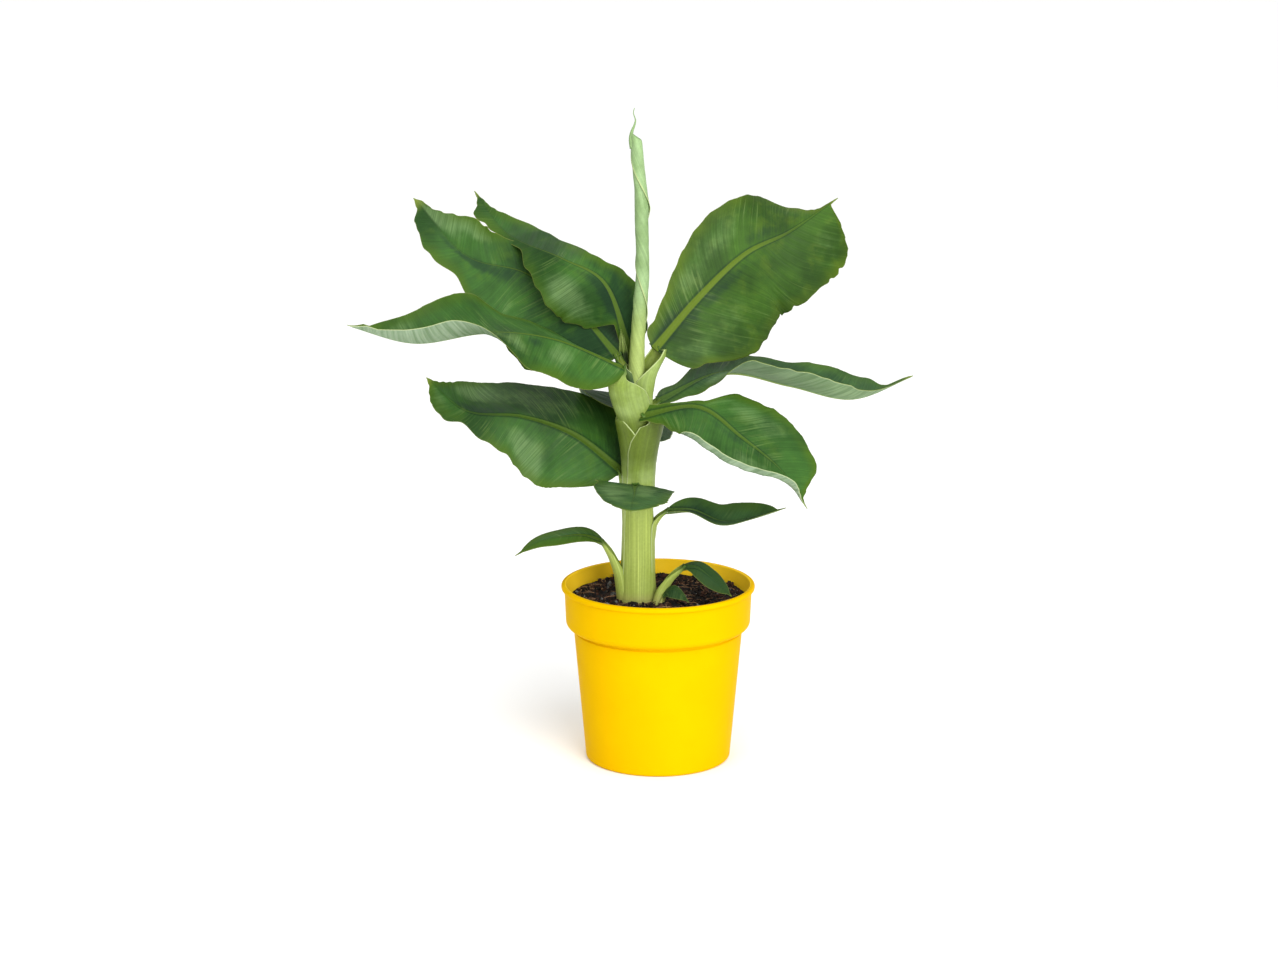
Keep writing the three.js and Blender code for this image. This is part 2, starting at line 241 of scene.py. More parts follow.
class Workpiece:
    """A mesh under construction, which becomes one named piece of the plant."""

    HANDFUL = 40

    def __init__(self, name: str) -> None:
        """Starts a piece that has no parts yet."""
        self.name = name
        self.parts: list[bpy.types.Mesh] = []

    def start(self) -> bmesh.types.BMesh:
        """Starts a part, with the maps that the finishes read.

        Returns:
            The part, which is still empty.
        """
        bm = bmesh.new()
        for mark in Mark:
            bm.verts.layers.float_vector.new(mark.value)
        return bm

    def keep(self, bm: bmesh.types.BMesh) -> None:
        """Keeps a finished part.

        Args:
            bm: The part, which is used up.
        """
        mesh = bpy.data.meshes.new(f"{self.name}_part")
        bm.to_mesh(mesh)
        bm.free()
        self.parts.append(mesh)

    def joined(self, parts: list[bpy.types.Mesh]) -> bpy.types.Mesh:
        """Joins parts to one mesh, a handful at a time.

        Args:
            parts: Meshes, which are used up.

        Returns:
            The one mesh.
        """
        while len(parts) > 1:
            handful, parts = parts[: self.HANDFUL], parts[self.HANDFUL :]
            bm = bmesh.new()
            for mesh in handful:
                bm.from_mesh(mesh)
                bpy.data.meshes.remove(mesh)
            whole = bpy.data.meshes.new(f"{self.name}_part")
            bm.to_mesh(whole)
            bm.free()
            parts.append(whole)
        return parts[0]

    def add_sheet(self, columns: int, rows: int, section: Callable[[float], list[SheetPoint]]) -> None:
        """Adds a closed thin sheet, laid out row by row from a flat grid.

        Args:
            columns: Number of faces across.
            rows: Number of faces along.
            section: Gives the points across the sheet at a share of its length.
        """
        bm = self.start()
        lay, share, bloom = (bm.verts.layers.float_vector[mark.value] for mark in Mark)
        bmesh.ops.create_grid(bm, x_segments=columns, y_segments=rows, size=1.0)
        grown = bmesh.ops.extrude_face_region(bm, geom=bm.faces[:], use_keep_orig=True)
        under = {item for item in grown["geom"] if isinstance(item, bmesh.types.BMVert)}
        by_row: dict[int, list[bmesh.types.BMVert]] = {}
        for vert in bm.verts:
            by_row.setdefault(round((vert.co.y + 1) / 2 * rows), []).append(vert)
        for row, verts in by_row.items():
            points = section(row / rows)
            for vert in verts:
                point = points[round((vert.co.x + 1) / 2 * columns)]
                vert.co = (point.inner if vert in under else point.outer) * MM
                vert[lay] = Vector(point.lay) * MM
                vert[share] = point.share
                vert[bloom] = (point.bloom, 0, 0)
        for face in bm.faces:
            sides = {vert in under for vert in face.verts}
            kind = Face.RIM if len(sides) == 2 else Face.UNDER if sides.pop() else Face.UPPER
            face.material_index = kind.value
            face.smooth = kind is not Face.RIM
        bmesh.ops.recalc_face_normals(bm, faces=bm.faces[:])
        self.keep(bm)

    def add_limb(
        self,
        sides: int,
        rows: int,
        place: Callable[[float, float], Vector],
        finish: int = 0,
        girth: float = 10.0,
    ) -> None:
        """Adds a closed limb, shaped from an upright cylinder.

        Args:
            sides: Number of faces round the limb.
            rows: Number of faces along it.
            place: Gives a surface point at a share of the length and an angle round the limb.
            finish: Material place of its faces.
            girth: Rough distance round the limb, for the finish.
        """
        bm = self.start()
        lay, marks = (bm.verts.layers.float_vector[mark.value] for mark in (Mark.LAY, Mark.SHARE))
        bmesh.ops.create_cone(bm, cap_ends=True, segments=sides, radius1=1, radius2=1, depth=2)
        upright = [edge for edge in bm.edges if abs(edge.verts[0].co.z - edge.verts[1].co.z) > 1]
        bmesh.ops.subdivide_edges(bm, edges=upright, cuts=rows - 1)
        for vert in bm.verts:
            share, angle = (vert.co.z + 1) / 2, math.atan2(vert.co.y, vert.co.x)
            vert.co = place(share, angle) * MM
            vert[lay] = Vector((vert.co.z, angle / math.tau * girth * MM, FAR_FROM_MARGIN * MM))
            vert[marks] = (share, math.cos(angle), OFF_THE_RIB)
        for face in bm.faces:
            face.material_index = finish
            face.smooth = len(face.verts) == 4
        bmesh.ops.recalc_face_normals(bm, faces=bm.faces[:])
        self.keep(bm)

    def publish(
        self, materials: Sequence[bpy.types.Material], replaced: Sequence[str]
    ) -> bpy.types.Object:
        """Turns the mesh into a piece that rides on the plant's body.

        Args:
            materials: Finishes, in the order of the material places.
            replaced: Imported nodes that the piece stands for.

        Returns:
            The new object.
        """
        mesh = self.joined(self.parts)
        mesh.name = self.name
        for material in materials:
            mesh.materials.append(material)
        piece = bpy.data.objects.new(self.name, mesh)
        bpy.context.scene.collection.objects.link(piece)
        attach(piece, BODY)
        if replaced:
            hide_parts(*replaced)
        mesh.calc_loop_triangles()
        log.info("%s: %d triangles", self.name, len(mesh.loop_triangles))
        return piece


class Recipe:
    """Writes one node material, a node at a time."""

    # Sockets of a Mix node that mixes colours, whose names it shares with those for other kinds.
    FACTOR, FIRST, SECOND, MIXED = 0, 6, 7, 2

    def __init__(self, name: str, roughness: float, specular: float) -> None:
        """Starts a material whose even gloss is set on the shader itself.

        Args:
            name: Name of the material.
            roughness: Roughness where no node changes it.
            specular: Strength of its reflections.
        """
        self.material = bpy.data.materials.new(name)
        self.material.use_nodes = True
        self.tree = self.material.node_tree
        self.surface = self.tree.nodes["Principled BSDF"]
        self.surface.inputs["Roughness"].default_value = roughness
        self.surface.inputs["Specular IOR Level"].default_value = specular

    def add(self, kind: str, feeds: dict[str | int, Value], **settings: str | float | bool) -> bpy.types.Node:
        """Adds a node.

        Args:
            kind: Blender's name of the node type.
            feeds: Values or outputs for its inputs.
            settings: Properties of the node.

        Returns:
            The new node.
        """
        node = self.tree.nodes.new(kind)
        for name, setting in settings.items():
            setattr(node, name, setting)
        for key, value in feeds.items():
            if isinstance(value, bpy.types.NodeSocket):
                self.tree.links.new(value, node.inputs[key])
            else:
                node.inputs[key].default_value = value
        return node

    def marks(self, mark: Mark) -> tuple[Socket, Socket, Socket]:
        """Reads a map that the mesh carries.

        Args:
            mark: The map.

        Returns:
            Its three numbers.
        """
        attribute = self.add("ShaderNodeAttribute", {}, attribute_name=mark.value)
        split = self.add("ShaderNodeSeparateXYZ", {0: attribute.outputs["Vector"]})
        return split.outputs[0], split.outputs[1], split.outputs[2]

    def maths(self, operation: str, first: Value, second: Value = 0.0, third: Value = 0.0) -> Socket:
        """Result of a sum on up to three numbers."""
        feeds = {0: first, 1: second, 2: third}
        return self.add("ShaderNodeMath", feeds, operation=operation).outputs[0]

    def range(self, value: Value, low: float, high: float, bottom: float = 0.0, top: float = 1.0) -> Socket:
        """Stretches a value softly from one range onto another."""
        feeds = {"Value": value, "From Min": low, "From Max": high, "To Min": bottom, "To Max": top}
        return self.add("ShaderNodeMapRange", feeds, interpolation_type="SMOOTHSTEP").outputs[0]

    def vector(self, x: Value, y: Value, z: Value = 0.0) -> Socket:
        """Joins three numbers to a vector."""
        return self.add("ShaderNodeCombineXYZ", {0: x, 1: y, 2: z}).outputs[0]

    def stretched(self, lengthwise: Socket, across: Socket, fine: float, coarse: float) -> Socket:
        """Place to read a drawn-out grain at, from the grains in one metre lengthwise and across."""
        return self.vector(self.maths("MULTIPLY", lengthwise, fine), self.maths("MULTIPLY", across, coarse))

    def places(self) -> Socket:
        """The place on the piece, in its own frame."""
        return self.add("ShaderNodeTexCoord", {}).outputs["Object"]

    def grain(self, place: Socket, scale: float, detail: float = 3.0, rough: float = 0.5) -> Socket:
        """Cloudy noise between 0 and 1.

        Args:
            place: Vector that the noise is read at.
            scale: Number of clouds in one unit of the vector.
            detail: Number of finer layers.
            rough: Strength of the finer layers.

        Returns:
            The noise's value.
        """
        feeds = {"Vector": place, "Scale": scale, "Detail": detail, "Roughness": rough}
        return self.add("ShaderNodeTexNoise", feeds).outputs[0]

    def mix(self, factor: Value, first: Value, second: Value, way: str = "MIX") -> Socket:
        """Mixes two colours.

        Args:
            factor: Share of the second colour.
            first: Colour at 0.
            second: Colour at 1.
            way: Blend type.

        Returns:
            The mixed colour.
        """
        feeds = {self.FACTOR: factor, self.FIRST: first, self.SECOND: second}
        return self.add("ShaderNodeMix", feeds, data_type="RGBA", blend_type=way).outputs[self.MIXED]

    def tinted(self, tone: Socket, where: Socket, strength: float, colour: Colour) -> Socket:
        """Lays a colour over a tone, as strongly as its mask and its strength say."""
        return self.mix(self.maths("MULTIPLY", where, strength), tone, colour)

    def lit(self, tone: Socket, level: Socket) -> Socket:
        """Lightens a tone where a level is above 1 and darkens it where it is below."""
        return self.mix(1.0, tone, self.vector(level, level, level), "MULTIPLY")

    def grained(self, tone: Socket, grain: Socket, strength: float) -> Socket:
        """Lightens and darkens a tone with a grain, up to half the strength either way."""
        return self.lit(tone, self.maths("MULTIPLY_ADD", grain, strength, 1 - strength / 2))

    def feed(self, socket: str, value: Socket) -> None:
        """Leads a value into the shader."""
        self.tree.links.new(value, self.surface.inputs[socket])

    def emboss(self, height: Socket, distance: float, strength: float) -> None:
        """Roughens the surface by a height map.

        Args:
            height: Height between 0 and 1.
            distance: Height of 1 in metres.
            strength: Strength of the relief.
        """
        feeds = {"Height": height, "Distance": distance, "Strength": strength}
        self.feed("Normal", self.add("ShaderNodeBump", feeds).outputs[0])


@dataclass(frozen=True)
class LeafTone:
    """Colours of a leaf at one age, or of a leaf darkened as painted shade."""

    name: str
    deep: Colour
    fresh: Colour
    edge: Colour
    rib: Colour
    under: Colour
    chalk: Colour = paint(146, 164, 138)
    # Painted shade, for the dark folds.
    shadow: Colour = paint(20, 42, 32)
    pale_vein: Colour = paint(112, 136, 74)
    # Pale wax with a painted sheen on it.
    dust_and_sheen: Colour = paint(106, 134, 84)
    margin: Colour = paint(118, 128, 62)
    # Painted shade along both sides of the rib.
    beside_rib: Colour = paint(16, 40, 20)
    tip: Colour = paint(112, 128, 50)
    under_margin: Colour = paint(168, 182, 140)
    keel: Colour = paint(126, 144, 74)

    def veins(self, recipe: Recipe, vein: Socket, across: Socket) -> tuple[Socket, Socket, Socket]:
        """Fine lines, broad streaks and single pale lines that follow the side veins.

        Args:
            recipe: Material being written.
            vein: Place along the rib at which the vein starts.
            across: Distance from the rib.

        Returns:
            The lines, the streaks and the single lines, each between 0 and 1.
        """
        fine = recipe.stretched(vein, across, 640, 16)
        broad = recipe.stretched(vein, across, 170, 11)
        single = recipe.stretched(vein, across, 150, 5)
        from_line = recipe.maths("ABSOLUTE", recipe.maths("SUBTRACT", recipe.grain(single, 1.0, 1.0), 0.5))
        return (
            recipe.grain(fine, 1.0, 3.0, 0.6),
            recipe.grain(broad, 1.0, 4.0, 0.6),
            recipe.range(from_line, 0.02, 0.004),
        )

    def patched(self, recipe: Recipe, tone: Socket, fine: Socket, broad: Socket, mottle: Socket) -> Socket:
        """Lays the leaf's patches of pale wax with painted sheen, and of painted shade in folds, over its
        green.

        Args:
            recipe: Material being written.
            tone: The green.
            fine: Fine lines, which break up the pale patches.
            broad: Broad streaks, which fray the patches.
            mottle: Clouds, which fray them too.

        Returns:
            The green with its patches.
        """
        # The map is above 0 for pale wax with a painted sheen and below 0 for painted shade in folds.
        patch_strength, _, _ = recipe.marks(Mark.BLOOM)
        ragged = recipe.maths("MULTIPLY_ADD", mottle, 0.9, recipe.maths("MULTIPLY_ADD", broad, 0.9, -0.9))
        patch = recipe.maths("ADD", patch_strength, ragged)
        lines = recipe.range(fine, 0.32, 0.68, 0.3, 0.72)
        tone = recipe.mix(recipe.maths("MULTIPLY", recipe.range(patch, 0.12, 0.95), lines), tone, self.dust_and_sheen)
        # Painted shade darkens the folds.
        return recipe.tinted(tone, recipe.range(patch, -0.12, -0.9), 0.6, self.shadow)

    def ribbed(self, recipe: Recipe, tone: Socket, share: Socket, rib: Socket) -> Socket:
        """Adds the pale rib, the shade on both sides of it and the dry tip.

        Args:
            recipe: Material being written.
            tone: The green.
            share: Place from foot to tip.
            rib: Distance from the middle, in half widths of the rib.

        Returns:
            The green with its rib and tip.
        """
        # Painted shade along both sides of the rib's band.
        shade = recipe.maths("MULTIPLY", recipe.range(rib, 0.8, 1.02), recipe.range(rib, 1.9, 1.05))
        tone = recipe.tinted(tone, shade, 0.6, self.beside_rib)
        fading = recipe.range(share, 0.94, 0.3, 0.12)
        tone = recipe.mix(recipe.maths("MULTIPLY", recipe.range(rib, 1.02, 0.62), fading), tone, self.rib)
        return recipe.mix(recipe.range(share, 0.95, 0.995, 0.0, 0.85), tone, self.tip)

    def upper(self) -> bpy.types.Material:
        """Green, softly glossy upper face, with its veins, rib and yellowish margin.

        Returns:
            The material.
        """
        recipe = Recipe(f"leaf_upper_{self.name}", roughness=0.5, specular=0.1)
        vein, across, from_margin = recipe.marks(Mark.LAY)
        share, _, rib = recipe.marks(Mark.SHARE)
        fine, broad, single = self.veins(recipe, vein, across)
        place = recipe.places()
        cloud, mottle = recipe.grain(place, 15.0, 3.0), recipe.grain(place, 52.0, 4.0, 0.6)
        tone = recipe.mix(recipe.range(cloud, 0.34, 0.66), self.deep, self.fresh)
        tone = recipe.mix(recipe.range(mottle, 0.5, 0.72, 0.0, 0.3), tone, self.edge)
        for lines, strength in ((fine, 0.8), (broad, 0.5), (mottle, 0.6)):
            tone = recipe.grained(tone, lines, strength)
        some = recipe.range(recipe.grain(place, 19.0, 2.0), 0.45, 0.65)
        tone = recipe.tinted(tone, recipe.maths("MULTIPLY", single, some), 0.34, self.pale_vein)
        tone = self.patched(recipe, tone, fine, broad, mottle)
        warm = recipe.maths("MULTIPLY", recipe.range(from_margin, 0.015, 0.0), recipe.range(cloud, 0.3, 0.6))
        tone = recipe.tinted(tone, warm, 0.8, self.edge)
        tone = recipe.mix(recipe.range(from_margin, 0.0008, 0.0002, 0.0, 0.6), tone, self.margin)
        recipe.feed("Base Color", self.ribbed(recipe, tone, share, rib))
        recipe.feed("Roughness", recipe.range(broad, 0.3, 0.7, 0.4, 0.58))
        relief = recipe.maths("MULTIPLY_ADD", broad, 0.9, recipe.maths("MULTIPLY", fine, 0.5))
        recipe.emboss(relief, 0.0007, 0.5)
        return recipe.material

    def lower(self) -> bpy.types.Material:
        """Pale, matt underside.

        Returns:
            The material.
        """
        recipe = Recipe(f"leaf_under_{self.name}", roughness=0.6, specular=0.1)
        vein, across, from_margin = recipe.marks(Mark.LAY)
        share, _, rib = recipe.marks(Mark.SHARE)
        fine, broad, _ = self.veins(recipe, vein, across)
        cloud = recipe.grain(recipe.places(), 16.0, 4.0)
        tone = recipe.mix(recipe.range(cloud, 0.35, 0.7, 0.0, 0.8), self.under, self.chalk)
        tone = recipe.mix(recipe.range(share, 0.4, 0.8, 0.0, 0.7), tone, self.chalk)
        tone = recipe.mix(recipe.range(broad, 0.62, 0.36, 0.0, 0.5), tone, self.fresh)
        tone = recipe.grained(tone, fine, 0.5)
        tone = recipe.mix(recipe.range(from_margin, 0.0012, 0.0003), tone, self.under_margin)
        tone = recipe.mix(recipe.range(rib, 1.05, 0.7), tone, self.keel)
        recipe.feed("Base Color", tone)
        recipe.emboss(recipe.maths("ADD", broad, fine), 0.0006, 0.5)
        return recipe.material


class Age(Enum):
    """The tones of the leaves: one for each age, and SHADED, a darker copy that paints shade."""

    YOUNG = LeafTone(
        "young", paint(40, 66, 22), paint(58, 92, 28), paint(78, 98, 20), paint(86, 106, 28),
        paint(92, 114, 76),
    )
    GROWN = LeafTone(
        "grown", paint(35, 66, 25), paint(55, 94, 37), paint(66, 92, 18), paint(70, 94, 28),
        paint(96, 118, 84),
    )
    OLD = LeafTone(
        "old", paint(42, 70, 38), paint(62, 96, 52), paint(64, 92, 28), paint(66, 92, 38),
        paint(96, 120, 84), paint(134, 160, 118),
    )
    # A darker copy of the grown tones: painted shade for the back leaf and the offshoots under the others.
    SHADED = LeafTone(
        "shaded", paint(30, 56, 32), paint(40, 70, 38), paint(50, 74, 30), paint(50, 76, 34),
        paint(38, 60, 32), paint(54, 80, 46), paint(14, 30, 22),
    )


@dataclass(frozen=True)
class SheathFinish:
    """Juicy green of the stem, its sheaths and its stalks, with fine lengthwise lines.

    Heights are in metres. The dark tone comes in over dark_from and fades over dark_to, the low tone comes in
    over low_from, and the soil stains the foot over stain_from.
    """

    name: str
    base: Colour
    light: Colour
    dark: Colour
    low: Colour
    dark_from: tuple[float, float] = (0.29, 0.31)
    dark_to: tuple[float, float] = (0.356, 0.338)
    end: Colour | None = None
    low_from: tuple[float, float] = (0.29, 0.24)
    stain_from: tuple[float, float] = (0.176, 0.162)
    line: Colour = paint(190, 203, 108)
    stain: Colour = paint(150, 132, 84)
    margin: Colour = paint(176, 190, 130)

    def material(self) -> bpy.types.Material:
        """The finish as a material.

        Returns:
            The material.
        """
        recipe = Recipe(f"sheath_{self.name}", roughness=0.42, specular=0.22)
        height, across, from_margin = recipe.marks(Mark.LAY)
        lines, bands = recipe.stretched(height, across, 7, 1000), recipe.stretched(height, across, 9, 330)
        fine, broad = recipe.grain(lines, 1.0, 3.0), recipe.grain(bands, 1.0, 2.0)
        place = recipe.places()
        cloud, speckle = recipe.grain(place, 38.0, 3.0), recipe.grain(place, 420.0, 3.0, 0.6)
        tone = recipe.mix(recipe.range(cloud, 0.34, 0.66), self.base, self.light)
        coming, fading = recipe.range(height, *self.dark_from), recipe.range(height, *self.dark_to)
        tone = recipe.tinted(tone, recipe.maths("MULTIPLY", coming, fading), 0.85, self.dark)
        near_soil = recipe.range(height, *self.low_from)
        tone = recipe.tinted(tone, near_soil, 0.9, self.low)
        ribs = recipe.maths("MULTIPLY", near_soil, recipe.range(fine, 0.52, 0.72, 0.0, 0.7))
        tone = recipe.mix(ribs, tone, self.line)
        tone = recipe.mix(recipe.range(height, *self.stain_from, 0.0, 0.5), tone, self.stain)
        if self.end:
            tone = recipe.mix(recipe.range(recipe.marks(Mark.SHARE)[0], 0.86, 0.98), tone, self.end)
        for grain, strength in ((fine, 0.5), (broad, 0.5), (speckle, 0.35)):
            tone = recipe.grained(tone, grain, strength)
        tone = recipe.mix(recipe.range(from_margin, 0.0016, 0.0008, 0.0, 0.85), tone, self.margin)
        recipe.feed("Base Color", tone)
        recipe.feed("Roughness", recipe.range(cloud, 0.3, 0.7, 0.36, 0.5))
        recipe.emboss(recipe.maths("MULTIPLY_ADD", broad, 0.7, fine), 0.0003, 0.4)
        return recipe.material


@dataclass(frozen=True)
class PlasticFinish:
    """Moulded pot plastic: an even colour with a faint mottle and a soft gloss, scuffed round the pot."""

    name: str
    colour: Colour
    worn: Colour
    scuffs: Point = (60.0, 60.0, 420.0)

    def material(self) -> bpy.types.Material:
        """The finish as a material.

        Returns:
            The material.
        """
        recipe = Recipe(f"pot_{self.name}", roughness=0.45, specular=0.004)
        place = recipe.places()
        mottle = recipe.grain(place, 18.0, 4.0, 0.6)
        skin = recipe.grain(place, 900.0, 2.0)
        drawn_out = recipe.add("ShaderNodeMapping", {"Vector": place, "Scale": self.scuffs})
        scuffed = recipe.grain(drawn_out.outputs[0], 1.0, 4.0)
        tone = recipe.mix(recipe.range(mottle, 0.35, 0.75, 0.0, 0.35), self.colour, self.worn)
        recipe.feed("Base Color", tone)
        recipe.feed("Roughness", recipe.range(scuffed, 0.55, 0.8, 0.38, 0.5))
        recipe.emboss(recipe.maths("MULTIPLY_ADD", mottle, 2.0, skin), 0.00025, 0.35)
        return recipe.material


@dataclass(frozen=True)
class PeatFinish:
    """Damp peat, or one of the bits in it."""

    name: str
    dark: Colour
    light: Colour
    scale: float = 260.0

    def material(self) -> bpy.types.Material:
        """The finish as a material.

        Returns:
            The material.
        """
        recipe = Recipe(f"peat_{self.name}", roughness=0.85, specular=0.25)
        place = recipe.places()
        cloud, grit = recipe.grain(place, 60.0, 5.0, 0.65), recipe.grain(place, self.scale, 6.0, 0.75)
        tone = recipe.mix(recipe.range(grit, 0.4, 0.72), self.dark, self.light)
        tone = recipe.lit(tone, recipe.range(cloud, 0.3, 0.7, 0.55, 1.25))
        recipe.feed("Base Color", tone)
        recipe.feed("Roughness", recipe.range(grit, 0.3, 0.7, 0.7, 0.95))
        recipe.emboss(recipe.maths("ADD", grit, cloud), 0.002, 0.8)
        return recipe.material


SHEATH = SheathFinish(
    "stem", paint(120, 140, 60), paint(143, 163, 92), paint(84, 102, 24), paint(156, 172, 80),
    end=paint(64, 94, 32),
)
CHANNEL = SheathFinish(
    "channel", paint(106, 124, 44), paint(126, 144, 62), paint(98, 116, 36), paint(120, 138, 56),
    end=paint(74, 96, 24),
)
# A darker copy of the stem's green: painted shade on the stalks that lie deep between the leaves.
SHADED_GREEN = SheathFinish(
    "shaded", paint(42, 66, 30), paint(66, 90, 36), paint(32, 52, 30), paint(66, 90, 36)
)
SPEAR_GREEN = SheathFinish(
    "spear", paint(122, 150, 96), paint(140, 168, 116), paint(152, 168, 88), paint(152, 168, 88),
    dark_from=(0.32, 0.34), dark_to=(0.48, 0.41),
)
# Below 405 mm its dark tone is painted shade, where the scale's foot stands in the shadow between the stalks.
HUSK_GREEN_AND_SHADE = SheathFinish(
    "husk", paint(104, 124, 56), paint(138, 154, 90), paint(16, 34, 24), paint(16, 34, 24),
    dark_from=(0.29, 0.31), dark_to=(0.41, 0.405),
)


MADE: dict[str, bpy.types.Material] = {}


def made_once(name: str, make: Callable[[], bpy.types.Material]) -> bpy.types.Material:
    """Makes a material the first time that it is asked for.

    Args:
        name: Name to remember it by.
        make: Writes the material.

    Returns:
        The material.
    """
    if name not in MADE:
        MADE[name] = make()
    return MADE[name]


def finish_of(tone: LeafTone) -> tuple[bpy.types.Material, bpy.types.Material]:
    """The upper and the under finish of a leaf's tone."""
    return made_once(f"upper {tone.name}", tone.upper), made_once(f"under {tone.name}", tone.lower)


@dataclass
class Pot:
    """The pot: a tapered body under a wider collar with a rolled lip, open above.

    shoulder is how far the collar stands out over the body, crease is the depth of the groove under it, and
    crisp is the angle in degrees past which an edge stays sharp.
    """

    height: float = 177.0
    rim_radius: float = 95.0
    foot_radius: float = 71.0
    body_top: float = 83.0
    collar_foot: float = 133.0
    collar_radius: float = 92.0
    shoulder: float = 7.3
    lip: float = 5.0
    crease: float = 1.5
    wall: float = 2.6
    floor: float = 4.0
    turns: int = 192
    roundings: int = 6
    crisp: float = 35.0
    outside: PlasticFinish = PlasticFinish("outside", paint(223, 175, 0), paint(229, 186, 0))
    # The same plastic drawn lighter inside: painted light on the inner wall, which lies in shade.
    inside: PlasticFinish = PlasticFinish("inside", paint(255, 206, 40), paint(255, 214, 60))

    def corners(self) -> list[tuple[float, float, float]]:
        """Profile from the middle of the underside over the lip to the middle of the floor.

        Returns:
            Radius, height and rounding of each corner.
        """
        inside = self.body_top - self.wall
        groove = self.body_top - self.crease
        return [
            (0.0, 0.0, 0.0),
            (self.foot_radius, 0.0, 3.5),
            (self.body_top - 0.2, self.collar_foot - 2 * self.crease, 0.4),
            (groove, self.collar_foot - 1.3 * self.crease, 0.4),
            (groove, self.collar_foot + 0.5, 0.3),
            (self.body_top + self.shoulder, self.collar_foot + 0.6, 6.2),
            (self.collar_radius, self.height - self.lip - 0.3, 0.6),
            (self.rim_radius, self.height - self.lip, 1.6),
            (self.rim_radius, self.height, 2.3),
            (self.collar_radius - self.wall + 0.9, self.height, 1.1),
            (inside + 4.4, self.collar_foot + 7.0, 1.5),
            (inside, self.collar_foot, 1.5),
            (self.foot_radius - self.wall, self.floor, 3.0),
            (0.0, self.floor, 0.0),
        ]

    def build(self) -> bpy.types.Object:
        """Spins the rounded profile into the pot.

        Returns:
            The pot's object.
        """
        work = Workpiece("pot_shell")
        corners = self.corners()
        bm = work.start()
        verts = [bm.verts.new((r * MM, 0, z * MM)) for r, z, _ in corners]
        for first, second in zip(verts, verts[1:]):
            bm.edges.new((first, second))
        for vert, (_, _, rounding) in zip(verts, corners):
            if rounding:
                bmesh.ops.bevel(
                    bm, geom=[vert], offset=rounding * MM, offset_type="OFFSET", segments=self.roundings,
                    profile=0.5, affect="VERTICES", material=-1,
                )
        bmesh.ops.spin(
            bm, geom=bm.verts[:] + bm.edges[:], cent=(0, 0, 0), axis=(0, 0, 1),
            dvec=(0, 0, 0), angle=math.tau, steps=self.turns, use_merge=True, use_duplicate=False,
        )
        bmesh.ops.remove_doubles(bm, verts=bm.verts[:], dist=0.00002)
        bmesh.ops.recalc_face_normals(bm, faces=bm.faces[:])
        for face in bm.faces:
            face.smooth = True
            outwards = face.calc_center_median() * Vector((1, 1, 0))
            # Inward faces take the lighter inside plastic, which is painted light.
            face.material_index = int(face.normal.dot(outwards) < 0)
        for edge in bm.edges:
            edge.smooth = edge.calc_face_angle(0.0) < math.radians(self.crisp)
        work.keep(bm)
        return work.publish([self.outside.material(), self.inside.material()], ["pot"])


class Peat(Enum):
    """Material places of the soil. The bed takes a sheet's three, and the bits on it follow."""

    BED = 0
    BARK = 3
    FIBRE = 4
    GRIT = 5


